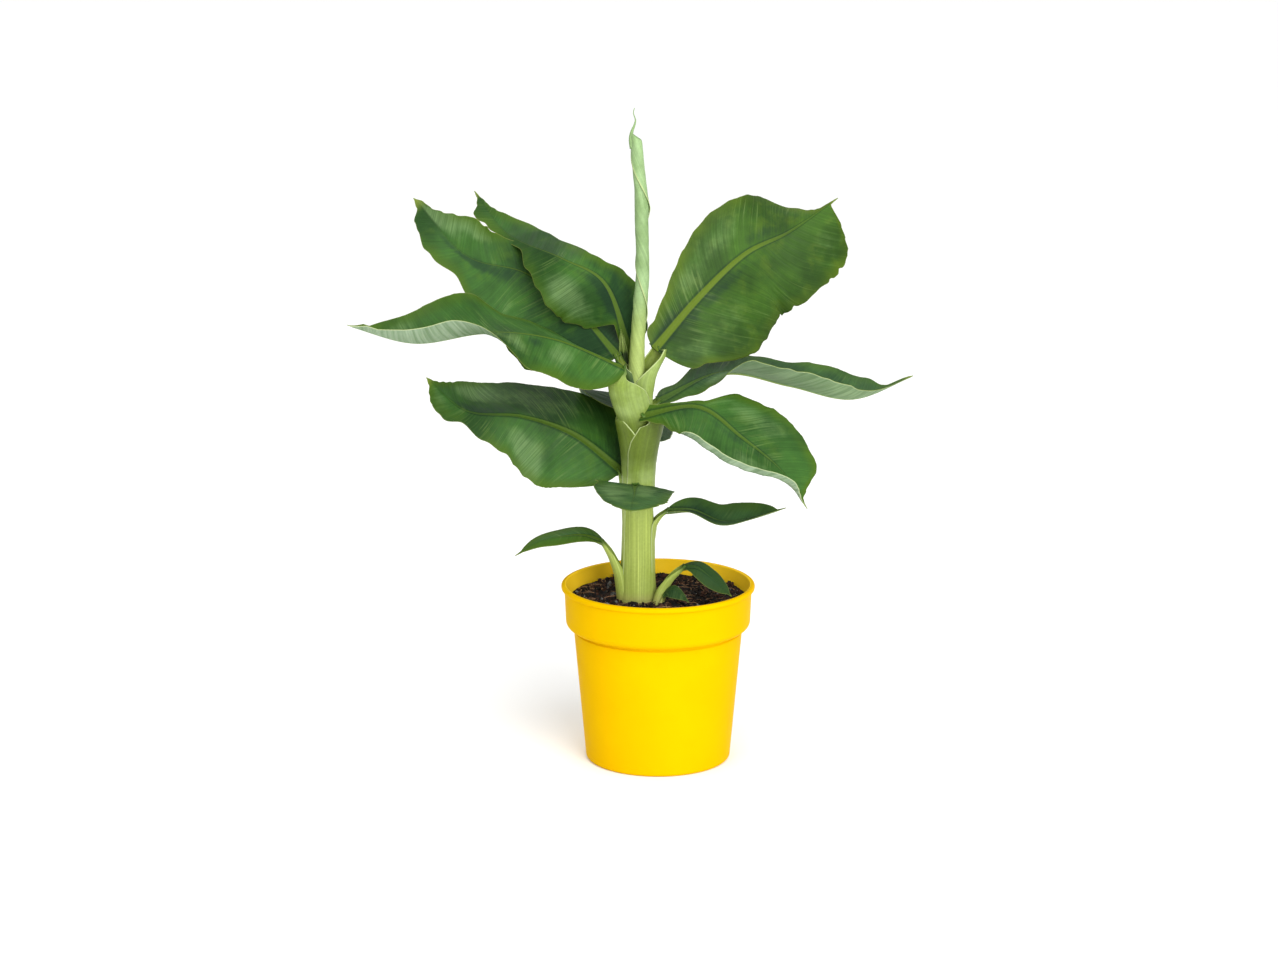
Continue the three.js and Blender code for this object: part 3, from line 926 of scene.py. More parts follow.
@dataclass
class Soil:
    """Peat that fills the pot to a finger's width under the rim, with lumps, bits and fibres.

    swell is the height of the packed soil's own waves, and lumps are rows of height and length. bare is the
    clear distance round the middle of the stem, and crumb_inset and fibre_inset are those from the wall.
    crumb_size is the smallest crumb's, and crumb_growth is how much larger the largest is. The fibres' pairs
    are the least and the most. Downwards the soil narrows to the share foot of its width.
    """

    level: float = 162.0
    radius: float = 87.2
    depth: float = 24.0
    swell: float = 3.0
    lumps: Rows = ((3.0, 11.0), (1.2, 3.6))
    foot: float = 0.96
    bare: float = 18.0
    columns: int = 150
    crumbs: int = 1500
    crumb_size: float = 0.8
    crumb_growth: float = 3.6
    crumb_inset: float = 3.0
    fibres: int = 620
    fibre_length: tuple[float, float] = (4, 16)
    fibre_radius: tuple[float, float] = (0.2, 0.62)
    fibre_inset: float = 7.0
    seed: int = 11

    def rise(self, x: float, y: float, stem: Point) -> float:
        """Height of the soil above its level at a place, in step with the packed soil.

        Args:
            x: Place across.
            y: Place in depth.
            stem: Foot of the stem.

        Returns:
            The rise, which dies away at the wall and under the stem.
        """
        from_stem = math.hypot(x - stem[0], y - stem[1])
        fade = min(1.0, max(0.0, from_stem / 30 - 1))
        waves = math.sin(x * 0.11 + 1) + math.sin(y * 0.13 + 2) + math.sin((x + y) * 0.07)
        near_wall = ease((self.radius - math.hypot(x, y)) / 12)
        place = Vector((x, y, 3.0))
        (high, long), (low, short) = self.lumps
        lumps = noise.fractal(place / long, 1.0, 2.1, 4) * high + noise.noise(place / short) * low
        rise = self.swell * fade * waves / 3 + lumps * ease(from_stem / 26 - 0.6)
        return rise * (0.25 + 0.75 * near_wall)

    def build(self, stem: Point) -> bpy.types.Object:
        """Makes the soil with everything that lies on it.

        Args:
            stem: Foot of the stem.

        Returns:
            The soil's object.
        """
        work = Workpiece("soil_bed")

        def section(share: float) -> list[SheetPoint]:
            """One row of the square grid, drawn out to the round wall.

            Args:
                share: Place from the front to the back.

            Returns:
                The points, from left to right.
            """
            points = []
            for i in range(self.columns + 1):
                u, v = 2 * i / self.columns - 1, 2 * share - 1
                x = self.radius * u * math.sqrt(max(0.0, 1 - v * v / 2))
                y = self.radius * v * math.sqrt(max(0.0, 1 - u * u / 2))
                top = self.level + self.rise(x, y, stem)
                low = Vector((x * self.foot, y * self.foot, self.level - self.depth))
                lay = (x, y, FAR_FROM_MARGIN)
                points.append(SheetPoint(Vector((x, y, top)), low, lay, (0, 0, OFF_THE_RIB)))
            return points

        work.add_sheet(self.columns, self.columns, section)
        draw = random.Random(self.seed)
        for _ in range(self.crumbs):
            self.add_crumb(work, draw, stem)
        for _ in range(self.fibres):
            self.add_fibre(work, draw, stem)
        bed = PeatFinish("bed", paint(10, 8, 7), paint(50, 36, 28)).material()
        bark = PeatFinish("bark", paint(46, 26, 18), paint(104, 66, 46), 420.0).material()
        fibre = PeatFinish("fibre", paint(120, 86, 60), paint(190, 156, 118), 600.0).material()
        grit = PeatFinish("grit", paint(90, 90, 92), paint(168, 166, 160), 500.0).material()
        return work.publish([bed, bed, bed, bark, fibre, grit], ["soil"])

    def spot(self, draw: random.Random, stem: Point, inset: float) -> tuple[float, float]:
        """A place on the soil clear of the wall and of the stem.

        Args:
            draw: Source of random numbers.
            stem: Foot of the stem.
            inset: Least distance from the wall.

        Returns:
            The place.
        """
        while True:
            reach = (self.radius - inset) * math.sqrt(draw.random())
            turn = draw.uniform(0, math.tau)
            x, y = reach * math.cos(turn), reach * math.sin(turn)
            if math.hypot(x - stem[0], y - stem[1]) > self.bare:
                return x, y

    def add_crumb(self, work: Workpiece, draw: random.Random, stem: Point) -> None:
        """Drops one crumb of peat, bark or grit on the soil.

        Args:
            work: Piece that takes the crumb.
            draw: Source of random numbers.
            stem: Foot of the stem.
        """
        x, y = self.spot(draw, stem, self.crumb_inset)
        size = self.crumb_size + self.crumb_growth * draw.random() ** 2.2
        bm = work.start()
        bmesh.ops.create_icosphere(bm, subdivisions=1, radius=1.0)
        for vert in bm.verts:
            vert.co *= draw.uniform(0.65, 1.15)
        turn = Euler([draw.uniform(0, math.tau) for _ in range(3)]).to_matrix().to_4x4()
        stretch = Matrix.Diagonal((size, size * draw.uniform(0.4, 1.0), size * draw.uniform(0.3, 0.8), 1.0))
        height = self.level + self.rise(x, y, stem) + size * 0.25
        move = Matrix.Translation((x, y, height))
        bmesh.ops.transform(bm, matrix=Matrix.Scale(MM, 4) @ move @ turn @ stretch, verts=bm.verts[:])
        kind = draw.choices([Peat.BED, Peat.BARK, Peat.GRIT], weights=[60, 32, 8])[0]
        for face in bm.faces:
            face.material_index = kind.value
        work.keep(bm)

    def add_fibre(self, work: Workpiece, draw: random.Random, stem: Point) -> None:
        """Lays one bent fibre on the soil.

        Args:
            work: Piece that takes the fibre.
            draw: Source of random numbers.
            stem: Foot of the stem.
        """
        x, y = self.spot(draw, stem, self.fibre_inset)
        length, radius = draw.uniform(*self.fibre_length), draw.uniform(*self.fibre_radius)
        turn, bend, tilt = draw.uniform(0, math.tau), draw.uniform(-0.9, 0.9), draw.uniform(-0.25, 0.45)
        height = self.level + self.rise(x, y, stem) + radius + 0.3

        def place(share: float, angle: float) -> Vector:
            """Surface point of the fibre.

            Args:
                share: Place along the fibre.
                angle: Angle round it.

            Returns:
                The point.
            """
            heading = turn + bend * share
            run = (share - 0.5) * length
            centre = Vector((x + run * math.cos(heading), y + run * math.sin(heading), 0))
            centre.z = height + share * length * tilt * 0.5 + math.sin(share * math.pi) * 0.8
            taper = radius * (1 - 0.5 * share)
            across = Vector((-math.sin(heading), math.cos(heading), 0))
            return centre + across * math.cos(angle) * taper + Vector((0, 0, math.sin(angle) * taper))

        kind = draw.choices([Peat.FIBRE, Peat.BARK], weights=[55, 45])[0]
        work.add_limb(5, 4, place, finish=kind.value)


@dataclass
class Stem:
    """The false stem, rolled from the feet of the leaves.

    rings are rows of height, half width, half depth, middle x and middle y. flutes are rows of frequency,
    scale and depth, the broad ones first.
    """

    rings: Rows = (
        (160.0, 20.4, 18.8, -20, -6), (170, 18, 16.8, -20, -6), (184, 16.8, 15.7, -19.8, -6),
        (200, 16.2, 15.2, -19.5, -6), (250, 14.6, 14, -19.5, -5), (285, 15.2, 14.1, -19.5, -4),
        (312, 16.4, 14.2, -19, -4), (330, 15, 12.2, -19, -4), (352, 12, 9.4, -19.5, -4),
        (374, 8.2, 7.8, -20, -3),
    )
    flutes: Rows = ((8, 1.1, 0.22), (22, 1.2, 0.08))
    girth: float = 100.0
    sides: int = 96
    rows: int = 140

    @property
    def foot(self) -> Point:
        """Middle of the stem at the soil."""
        return (self.rings[0][3], self.rings[0][4], self.rings[0][0])

    def skin(self, height: float, angle: float, proud: float) -> Vector:
        """Point on the stem's skin.

        Args:
            height: Height of the point.
            angle: Direction from the stem's middle, 0 along +X.
            proud: Distance outside the skin.

        Returns:
            The point.
        """
        width, depth, x, y = on_rings(self.rings, height)
        reach = Vector(((width + proud) * math.cos(angle), (depth + proud) * math.sin(angle), 0))
        return Vector((x, y, height)) + reach

    def build(self) -> bpy.types.Object:
        """Makes the stem with its shallow flutes.

        Returns:
            The stem's object.
        """
        work = Workpiece("stem_core")
        low, high = self.rings[0][0], self.rings[-1][0]
        (few, broad, deep), (many, narrow, shallow) = self.flutes

        def place(share: float, angle: float) -> Vector:
            """Surface point of the stem.

            Args:
                share: Place from the soil to the crown.
                angle: Angle round the stem.

            Returns:
                The point.
            """
            flute = ripple(angle * few, 3.0 + share * 0.05, broad) * deep
            flute += ripple(angle * many, 5.0, narrow) * shallow
            return self.skin(low + (high - low) * share, angle, flute)

        work.add_limb(self.sides, self.rows, place, girth=self.girth)
        return work.publish([made_once(SHEATH.name, SHEATH.material)], ["stem"])


@dataclass
class RolledLeaf:
    """The new leaf, still rolled, with its loose lip and the thread at its tip.

    rings are rows of height, radius, middle x and middle y. The sheet goes round turns times, and its seam
    climbs pitch in one turn, past seam_angle at seam_height. From slant_from up, its mouth slants by slant to
    either side. The radius wobbles by the share wobble, loses the share tighter on the way in, and gains the
    share lip at the loose edge. The thread's radius is thread_tip, and thread_foot more at its foot.
    """

    rings: Rows = (
        (366.0, 7.6, -20.8, -3), (400, 7.6, -20.4, -2.5), (420, 7.4, -19.8, -2), (459, 7.2, -17.4, -1),
        (478, 6.9, -15.6, 0), (504, 6.5, -15, 0), (540, 7.1, -16.2, 0), (549, 7.5, -15.8, 0),
        (564, 6.6, -17, 0), (586, 6.2, -19.2, 0), (612, 5.8, -21, 0), (621, 4.2, -23.2, 0),
    )
    thread_path: tuple[Point, ...] = (
        (-24.4, 0, 606), (-26.2, -1, 614), (-25.6, -1, 621), (-22.9, 0, 628),
        (-22.1, 0, 633), (-24.0, 0, 639), (-23.0, 0, 644),
    )
    turns: float = 1.2
    pitch: float = 101.0
    seam_angle: float = -45.0
    seam_height: float = 660.0
    slant: float = 3.6
    slant_from: float = 0.9
    wobble: float = 0.05
    wobble_length: float = 26.0
    tighter: float = 0.13
    lip: float = 0.1
    thread_foot: float = 3.0
    thread_tip: float = 0.4
    thickness: float = 0.55
    columns: int = 64
    rows: int = 150

    def build(self) -> bpy.types.Object:
        """Rolls a sheet into the spear and adds its thread.

        Returns:
            The rolled leaf's object.
        """
        work = Workpiece("rolled_leaf")
        low, high = self.rings[0][0], self.rings[-1][0]

        def section(share: float) -> list[SheetPoint]:
            """One turn and a bit of the roll at a height.

            Args:
                share: Place from foot to tip.

            Returns:
                The points, from the outer lip inwards.
            """
            points = []
            for i in range(self.columns + 1):
                part = i / self.columns
                level = low + (high - low) * share
                start = math.radians(self.seam_angle) + math.tau * (self.seam_height - level) / self.pitch
                angle = start + math.tau * self.turns * part
                height = level - ease((share - self.slant_from) / 0.1) * self.slant * (1 + math.cos(angle))
                radius, x, y = on_rings(self.rings, height)
                swell = 1 + self.wobble * ripple(height, part * 2, self.wobble_length) - self.tighter * part
                flare = 1 + self.lip * math.exp(-part * 18)
                direction = Vector((math.cos(angle), math.sin(angle), 0))
                outer = Vector((x, y, height)) + direction * radius * swell * flare
                inner = outer - direction * self.thickness
                across = part * self.turns * math.tau * radius
                edge = min(part, 1 - part) * self.turns * math.tau * radius
                points.append(SheetPoint(outer, inner, (height, across, edge), (share, part, OFF_THE_RIB)))
            return points

        work.add_sheet(self.columns, self.rows, section)
        path = Spine(self.thread_path, Vector((1, 0, 0)))

        def thread(share: float, angle: float) -> Vector:
            """Surface point of the thread.

            Args:
                share: Place along the thread.
                angle: Angle round it.

            Returns:
                The point.
            """
            here = path.section(share)
            radius = self.thread_foot * (1 - share) ** 2.2 + self.thread_tip
            return here.point + here.side * math.cos(angle) * radius + here.up * math.sin(angle) * radius

        work.add_limb(10, 24, thread)
        green = SPEAR_GREEN.material()
        return work.publish([green, green, green], ["leaf_rolled"])


@dataclass
class Husk:
    """The withered scale that stands between the new leaf and the leaves on its left, in two folds.

    crumple is how uneven the folds are, as a share of their depth. Its foot is painted dark as shade.
    """

    path: tuple[Point, ...] = ((-30, 5, 384), (-33, 4, 400), (-34.6, 2, 416), (-36, 1, 430))
    widths: tuple[float, ...] = (3.5, 4.0, 4.0, 2.6, 0.5)
    fold: float = 1.5
    crumple: float = 0.3
    thickness: float = 0.5
    from_margin: float = 4.0
    columns: int = 24
    rows: int = 50

    def build(self) -> bpy.types.Object:
        """Makes the folded scale.

        Returns:
            The scale's object.
        """
        work = Workpiece("husk")
        spine = Spine(self.path, Vector((1, 0, 0)))

        def section(share: float) -> list[SheetPoint]:
            """Points across the scale.

            Args:
                share: Place from foot to tip.

            Returns:
                The points, from the left edge to the right.
            """
            here = spine.section(share)
            half = along(self.widths, share)
            points = []
            for i in range(self.columns + 1):
                part = 2 * i / self.columns - 1
                folds = math.cos(part * math.tau) + self.crumple * ripple(share, part, 0.2)
                bend = self.fold * folds * min(half / 3, 1.0)
                outer = here.point + here.side * (half * part) - Vector((0, bend, 0))
                inner = outer + Vector((0, self.thickness, 0))
                lay = (here.point.z, half * part, self.from_margin)
                points.append(SheetPoint(outer, inner, lay, (share, part, OFF_THE_RIB)))
            return points

        work.add_sheet(self.columns, self.rows, section)
        # Dry green, painted dark with shade towards the foot.
        dry = HUSK_GREEN_AND_SHADE.material()
        return work.publish([dry, dry, dry], [])


@dataclass(frozen=True)
class HalfBlade:
    """Half of a blade.

    width runs from the rib to the margin, lift is the angle of the half over the level, and curl is how much
    steeper the margin is, each in even steps from foot to tip. roll folds the margin itself over. tail takes
    the width's place over the last part, and nicks are rows of place, depth and length. base widens the foot,
    frill roughens the margin, wave scales the waves, and flare and tip_power shape the narrowing to the tip.

    The last five are shares of the length: the body without its thin tip, the thin tip, the place where the
    tail's numbers start, the place where the tail takes over, and how long it takes.
    """

    width: tuple[float, ...]
    lift: tuple[float, ...]
    curl: tuple[float, ...] = (0.0, 0.0)
    tip_power: float = 3.5
    tail: tuple[float, ...] = ()
    flare: float = 7.0
    wave: float = 1.0
    frill: float = 0.012
    roll: tuple[float, ...] = (0.0, 0.0)
    nicks: Rows = ()
    base: float = 0.0
    body: float = 0.94
    thread: float = 0.06
    tail_from: float = 0.88
    blend_from: float = 0.85
    blend: float = 0.04

    def reach(self, share: float, row: float) -> float:
        """Distance from rib to margin.

        Args:
            share: Place from foot to tip.
            row: Number that tells one half blade from another.

        Returns:
            The distance, with the margin's small dents and nicks.
        """
        place = min(share / self.body, 1.0)
        foot = (1 - (1 - place) ** 5) ** 0.6
        tip = (1 - place**self.tip_power) ** 0.75
        least = 4 * max(1 - 2 * share, 0.0) + self.base * max(1 - share / 0.12, 0.0)
        full = along(self.width, share) * foot * tip
        full *= 1 + self.frill * ripple(share, row, 0.05) + 0.008 * ripple(share, row + 3, 0.016)
        for middle, depth, length in self.nicks:
            full -= depth * math.exp(-(((share - middle) / length) ** 2))
        if self.tail and share > self.blend_from:
            into = ease((share - self.blend_from) / self.blend)
            return full + (along(self.tail, (share - self.tail_from) / (1 - self.tail_from)) - full) * into
        thin = 0.5 + self.flare * max(0.0, min((1 - share) / self.thread, 1.0)) ** 1.7
        return max(full, least, thin)


@dataclass(frozen=True)
class Patch:
    """A patch of pale bloom, or of dark fold if its strength is below 0, round a place of a blade."""

    share: float
    part: float
    long: float
    wide: float
    strength: float

    def at(self, share: float, part: float) -> float:
        """Strength of the patch at a place.

        Args:
            share: Place from foot to tip.
            part: Place from the left margin, -1, over the rib to the right margin, 1.

        Returns:
            The strength.
        """
        away = ((share - self.share) / self.long) ** 2 + ((part - self.part) / self.wide) ** 2
        return self.strength * math.exp(-away)


@dataclass(frozen=True)
class Stalk:
    """A leaf's stalk with the sheath that it grows out of.

    points lead to the blade; foot and top are the half width and half depth of the free stalk at its ends.
    wrap holds the sheath's rings, as rows of height, half width, half depth, middle x, middle y, and the half
    angles from the stalk's back to its left and to its right margin. facing is where the stalk's back faces.
    free_from is the share of the length from which the wall leaves the stem; shaded darkens it as painted
    shade.
    """

    points: tuple[Point, ...]
    foot: tuple[float, float]
    top: tuple[float, float]
    facing: float = 0.0
    wrap: Rows = ()
    free_from: float = 0.8
    shaded: bool = False


@dataclass(frozen=True)
class Leaf:
    """One leaf: the blade on its rib, and the stalk that carries it.

    steady is how far the blade's sections keep to its overall direction, and a higher rib_power thins the rib
    sooner.
    """

    name: str
    rib: tuple[Point, ...]
    left: HalfBlade
    right: HalfBlade
    stalk: Stalk
    age: Age = Age.GROWN
    steady: float = 0.0
    rib_power: float = 3.2
    seed: int = 1
    patches: tuple[Patch, ...] = ()

    @property
    def level_side(self) -> Vector:
        """Level direction to the right of the way the leaf heads."""
        heading = Vector(self.rib[-1]) - Vector(self.rib[0])
        return heading.cross(Vector((0, 0, 1))).normalized()

    @property
    def small(self) -> bool:
        """Whether the leaf is one of the little ones near the soil."""
        return max(self.left.width + self.right.width) < 35

    def lean(self, share: float) -> float:
        """Angle by which the rib's flat top leans to the right, in radians, at a share of the blade."""
        slopes = [along(half.lift, share) + along(half.curl, share) / 2 for half in (self.left, self.right)]
        return math.radians((slopes[1] - slopes[0]) / 2)

    def bloom(self, share: float, part: float) -> float:
        """Strength of all the patches together, at a place that Patch.at describes."""
        return sum(patch.at(share, part) for patch in self.patches)


@dataclass
class Blade:
    """Builds a leaf's blade: a folded, veined sheet with a keel under its rib.

    waves and pleats are rows of height and length, and row_length is the length of one row of faces. At its
    foot the rib has the shares rib_wide and rib_deep of its stalk's half width and half depth. Towards the
    margin the sheet thins by swelling down to skin, a roll starts at the share roll_from of a half's width,
    and a side vein leans by vein_lean, by vein_turn more at the tip, and by vein_bow further out. The marks
    count the rib's half widths as far as marks_end.
    """

    leaf: Leaf
    skin: float = 0.55
    swelling: float = 0.5
    rib_wide: float = 0.92
    rib_deep: float = 0.95
    rib_tip: float = 0.4
    roll_from: float = 0.82
    vein_lean: float = 0.3
    vein_turn: float = 0.4
    vein_bow: float = 0.0018
    marks_end: float = 4.0
    rib_columns: int = 5
    columns: int = 40
    small_columns: int = 16
    least_rows: int = 60
    row_length: float = 1.35
    waves: Rows = ((1.5, 34.0), (0.6, 13.0))
    pleats: Rows = ((0.28, 8.5), (0.12, 4.1))
    groove: float = 0.22
    spine: Spine = field(init=False)

    def __post_init__(self) -> None:
        """Lays the rib's curve and thins out the columns of a small leaf."""
        self.spine = Spine(self.leaf.rib, self.leaf.level_side, self.leaf.steady)
        self.columns = self.small_columns if self.leaf.small else self.columns

    def rib_half(self, share: float) -> float:
        """Half width of the rib's band."""
        foot = self.leaf.stalk.top[0] * self.rib_wide
        return self.rib_tip + (foot - self.rib_tip) * (1 - share) ** self.leaf.rib_power

    def keel(self, share: float) -> float:
        """Depth of the keel under the rib."""
        return self.leaf.stalk.top[1] * self.rib_deep * (1 - share) ** 1.2

    def steps(self, rib: float, reach: float) -> list[float]:
        """Distances from the rib's middle at which a half has points.

        Args:
            rib: Half width of the rib's band.
            reach: Distance from the middle to the margin.

        Returns:
            The distances, which lie closest on the rib.
        """
        free = self.columns - self.rib_columns
        on_rib = [rib * step / self.rib_columns for step in range(self.rib_columns + 1)]
        return on_rib + [rib + (reach - rib) * (step / free) ** 0.9 for step in range(1, free + 1)]

    def relief(self, half: HalfBlade, share: float, sign: int, x: float, reach: float, vein: float) -> float:
        """Height of the waves and the pleats over the smooth sheet.

        Args:
            half: Sizes of the half blade.
            share: Place from foot to tip.
            sign: 1 for the right half, -1 for the left.
            x: Distance from the rib's middle.
            reach: Distance from the middle to the margin.
            vein: Place along the rib at which the side vein starts.

        Returns:
            The height.
        """
        part, run = x / reach, share * self.spine.length
        calm = ease(share / 0.12) * ease((1 - share) / 0.1)
        (high, long), (low, short) = self.waves
        swell = high * ripple(run, self.leaf.seed + sign * 0.4, long) + low * ripple(run, sign + 9.0, short)
        wave = half.wave * part**1.6 * calm * swell * min(reach / 50, 1.2)
        (deep, wide), (shallow, narrow) = self.pleats
        pleat = deep * math.sin(math.tau * vein / wide) * ripple(run, 2.0 + x / 60, 40.0)
        pleat += shallow * math.sin(math.tau * vein / narrow)
        bulge = ease(part / 0.12) * ease((1 - part) / 0.08) * calm
        return wave + pleat * bulge

    def half_row(self, here: Section, half: HalfBlade, share: float, sign: int) -> list[SheetPoint]:
        """Points of one half from the rib to the margin.

        Args:
            here: Cross section of the rib.
            half: Sizes of the half blade.
            share: Place from foot to tip.
            sign: 1 for the right half, -1 for the left.

        Returns:
            The points.
        """
        reach = half.reach(share, self.leaf.seed * 2.0 + sign)
        rib = min(self.rib_half(share), reach * (0.9 - 0.45 * ease(share / 0.08)))
        lift, curl = math.radians(along(half.lift, share)), math.radians(along(half.curl, share))
        roll, lean = math.radians(along(half.roll, share)), self.leaf.lean(share)
        run, keel = share * self.spine.length, self.keel(share)
        out = rise = last = 0.0
        points = []
        for x in self.steps(rib, reach):
            middle = (x + last) / 2
            turned = ease((middle - 0.55 * rib) / (0.8 * rib + 0.2))
            folded = roll * ease((middle / reach - self.roll_from) / 0.08)
            angle = sign * lean * (1 - turned) + (lift + curl * middle / reach + folded) * turned
            out += (x - last) * math.cos(angle)
            rise += (x - last) * math.sin(angle)
            last = x
            normal = here.side * (-sign * math.sin(angle)) + here.up * math.cos(angle)
            vein = run - x * (self.vein_lean + self.vein_turn * share) - self.vein_bow * x * x
            groove = -self.groove * rib * max(0.0, 1 - (x / (rib * 0.9)) ** 2) ** 2
            lifted = self.relief(half, share, sign, x, reach, vein) + groove
            point = here.point + here.side * (sign * out) + here.up * rise + normal * lifted
            part = x / reach
            round_keel = math.sqrt(max(0.0, 1 - (x / (rib * 1.05)) ** 2))
            sheet = min(self.skin + self.swelling * (1 - part), 0.25 + reach * 0.4)
            marks = (share, sign * part, min(x / rib, self.marks_end))
            bloom = self.leaf.bloom(share, sign * part)
            under = point - normal * (sheet + keel * round_keel)
            points.append(SheetPoint(point, under, (vein, x, reach - x), marks, bloom))
        return points

    def build(self) -> bpy.types.Object:
        """Makes the blade.

        Returns:
            The blade's object.
        """
        leaf = self.leaf

        def section(row: float) -> list[SheetPoint]:
            """Points across the blade, in rows that lie closer towards the tip.

            Args:
                row: Share of the rows.

            Returns:
                The points, from the left margin to the right.
            """
            share = 0.5 * (row + 0.5 * (1 - math.cos(math.pi * row)))
            here = self.spine.section(share)
            left = self.half_row(here, leaf.left, share, -1)
            right = self.half_row(here, leaf.right, share, 1)
            return left[:0:-1] + right

        work = Workpiece(f"blade_{leaf.name}")
        rows = max(self.least_rows, round(self.spine.length / self.row_length))
        work.add_sheet(self.columns * 2, rows, section)
        upper, under = finish_of(leaf.age.value)
        return work.publish([upper, under, upper], [f"leaf_{leaf.name}"])


@dataclass(frozen=True)
class StalkRow:
    """A stalk's wall at one share of its length, somewhere between its sheath and the free stalk.

    free is 0 where the wall follows the sheath's ring round the stem, and 1 where it is the stalk's own. left
    and right are the half angles to the margins, in degrees. ring is the half width, half depth, middle x and
    middle y of the sheath's ring.
    """

    centre: Vector
    side: Vector
    up: Vector
    wide: float
    deep: float
    left: float
    right: float
    height: float
    free: float = 1.0
    ring: tuple[float, ...] = ()


@dataclass
class StalkPiece:
    """Builds a leaf's stalk: a channelled petiole that opens out of a sheath round the stem.

    Over last_part, its last share, the stalk runs on by overlap into the blade, lies lower by sunk and loses
    the share narrowed of its size. tucked is how far the sheath's foot starts inside the stem, and lead how
    many of the curve's spans are left where the sheath ends. closed is how many degrees further the foot of a
    stalk without a sheath closes.
    """

    leaf: Leaf
    columns: int = 44
    least_rows: int = 40
    row_length: float = 1.1
    end_angle: float = 96.0
    closed: float = 70.0
    lead: float = 0.4
    tucked: float = 3.0
    overlap: float = 3.0
    sunk: float = 0.7
    last_part: float = 0.15
    narrowed: float = 0.16
    wall: float = 0.8
    sheath_wall: float = 1.2
    spine: Spine = field(init=False)

    def __post_init__(self) -> None:
        """Lays the curve from the sheath's foot to the blade."""
        stalk = self.leaf.stalk
        points = [*stalk.points, self.leaf.rib[0]]
        if stalk.wrap:
            low, _, _, x, y, _, _ = stalk.wrap[0]
            points.insert(0, (x, y, low))
        self.spine = Spine(points, self.leaf.level_side)

    def row(self, share: float) -> StalkRow:
        """Sizes the wall at a share of the length.

        Args:
            share: Place from foot to blade.

        Returns:
            The wall's row.
        """
        stalk, here = self.leaf.stalk, self.spine.section(share)
        lean = self.leaf.lean(0.0) * (1.0 if stalk.wrap else ease(share))
        side = here.side * math.cos(lean) + here.up * math.sin(lean)
        up = here.up * math.cos(lean) - here.side * math.sin(lean)
        last = ease((share - (1 - self.last_part)) / self.last_part)
        wide, deep = (a + (b - a) * share for a, b in zip(stalk.foot, stalk.top))
        wide, deep = wide * (1 - self.narrowed * last), deep * (1 - self.narrowed * last)
        centre = here.point + (here.tangent * self.overlap - up * self.sunk) * last
        if not stalk.wrap:
            half = self.end_angle + self.closed * (1 - share)
            return StalkRow(centre, side, up, wide, deep, half, half, here.point.z)
        grown = min(share / (1 - self.lead / (len(self.spine.points) - 1)), 1.0)
        height = stalk.wrap[0][0] + (stalk.wrap[-1][0] - stalk.wrap[0][0]) * grown
        width, depth, x, y, left, right = on_rings(stalk.wrap, height)
        tuck = self.tucked * (1 - ease(share / 0.06))
        free = ease((share - stalk.free_from) / (1 - stalk.free_from))
        left, right = left + (self.end_angle - left) * free, right + (self.end_angle - right) * free
        ring = (width - tuck, depth - tuck, x, y)
        return StalkRow(centre, side, up, wide, deep, left, right, height, free, ring)

    def section(self, share: float) -> list[SheetPoint]:
        """Points across the wall.

        Args:
            share: Place from foot to blade.

        Returns:
            The points, from the left margin to the right.
        """
        row, facing = self.row(share), math.radians(self.leaf.stalk.facing)
        result = []
        for i in range(self.columns + 1):
            part = 2 * i / self.columns - 1
            span = row.left if part < 0 else row.right
            angle = math.radians(span * part)
            out, down = row.wide * math.sin(angle), row.deep * math.cos(angle)
            outer = row.centre + row.side * out - row.up * down
            middle, girth = row.centre, row.wide
            if row.ring:
                width, depth, x, y = row.ring
                axis, turn = Vector((x, y, row.height)), facing - angle
                wrapped = axis + Vector((width * math.cos(turn), depth * math.sin(turn), 0))
                outer, middle = wrapped.lerp(outer, row.free), axis.lerp(row.centre, row.free)
                girth = width + (row.wide - width) * row.free
            most = self.sheath_wall + (row.deep * 0.7 - self.sheath_wall) * row.free
            thick = self.wall + most * math.cos(part * math.pi / 2) ** 1.5
            reach = math.radians(span) * girth
            lay = (row.height, part * reach, (1 - abs(part)) * reach + 4 * row.free)
            inner = outer + (middle - outer).normalized() * thick
            result.append(SheetPoint(outer, inner, lay, (share, part, OFF_THE_RIB)))
        return result

    def build(self) -> bpy.types.Object:
        """Makes the stalk with its sheath.

        Returns:
            The stalk's object.
        """
        leaf = self.leaf
        work = Workpiece(f"stalk_piece_{leaf.name}")
        rows = max(self.least_rows, round(self.spine.length / self.row_length))
        work.add_sheet(self.columns, rows, self.section)
        # Stalks marked shaded take the darker green of painted shade.
        finish = SHADED_GREEN if leaf.stalk.shaded else SHEATH
        green = made_once(finish.name, finish.material)
        inside = made_once(CHANNEL.name, CHANNEL.material)
        return work.publish([green, inside, green], [f"stalk_{leaf.name}"])


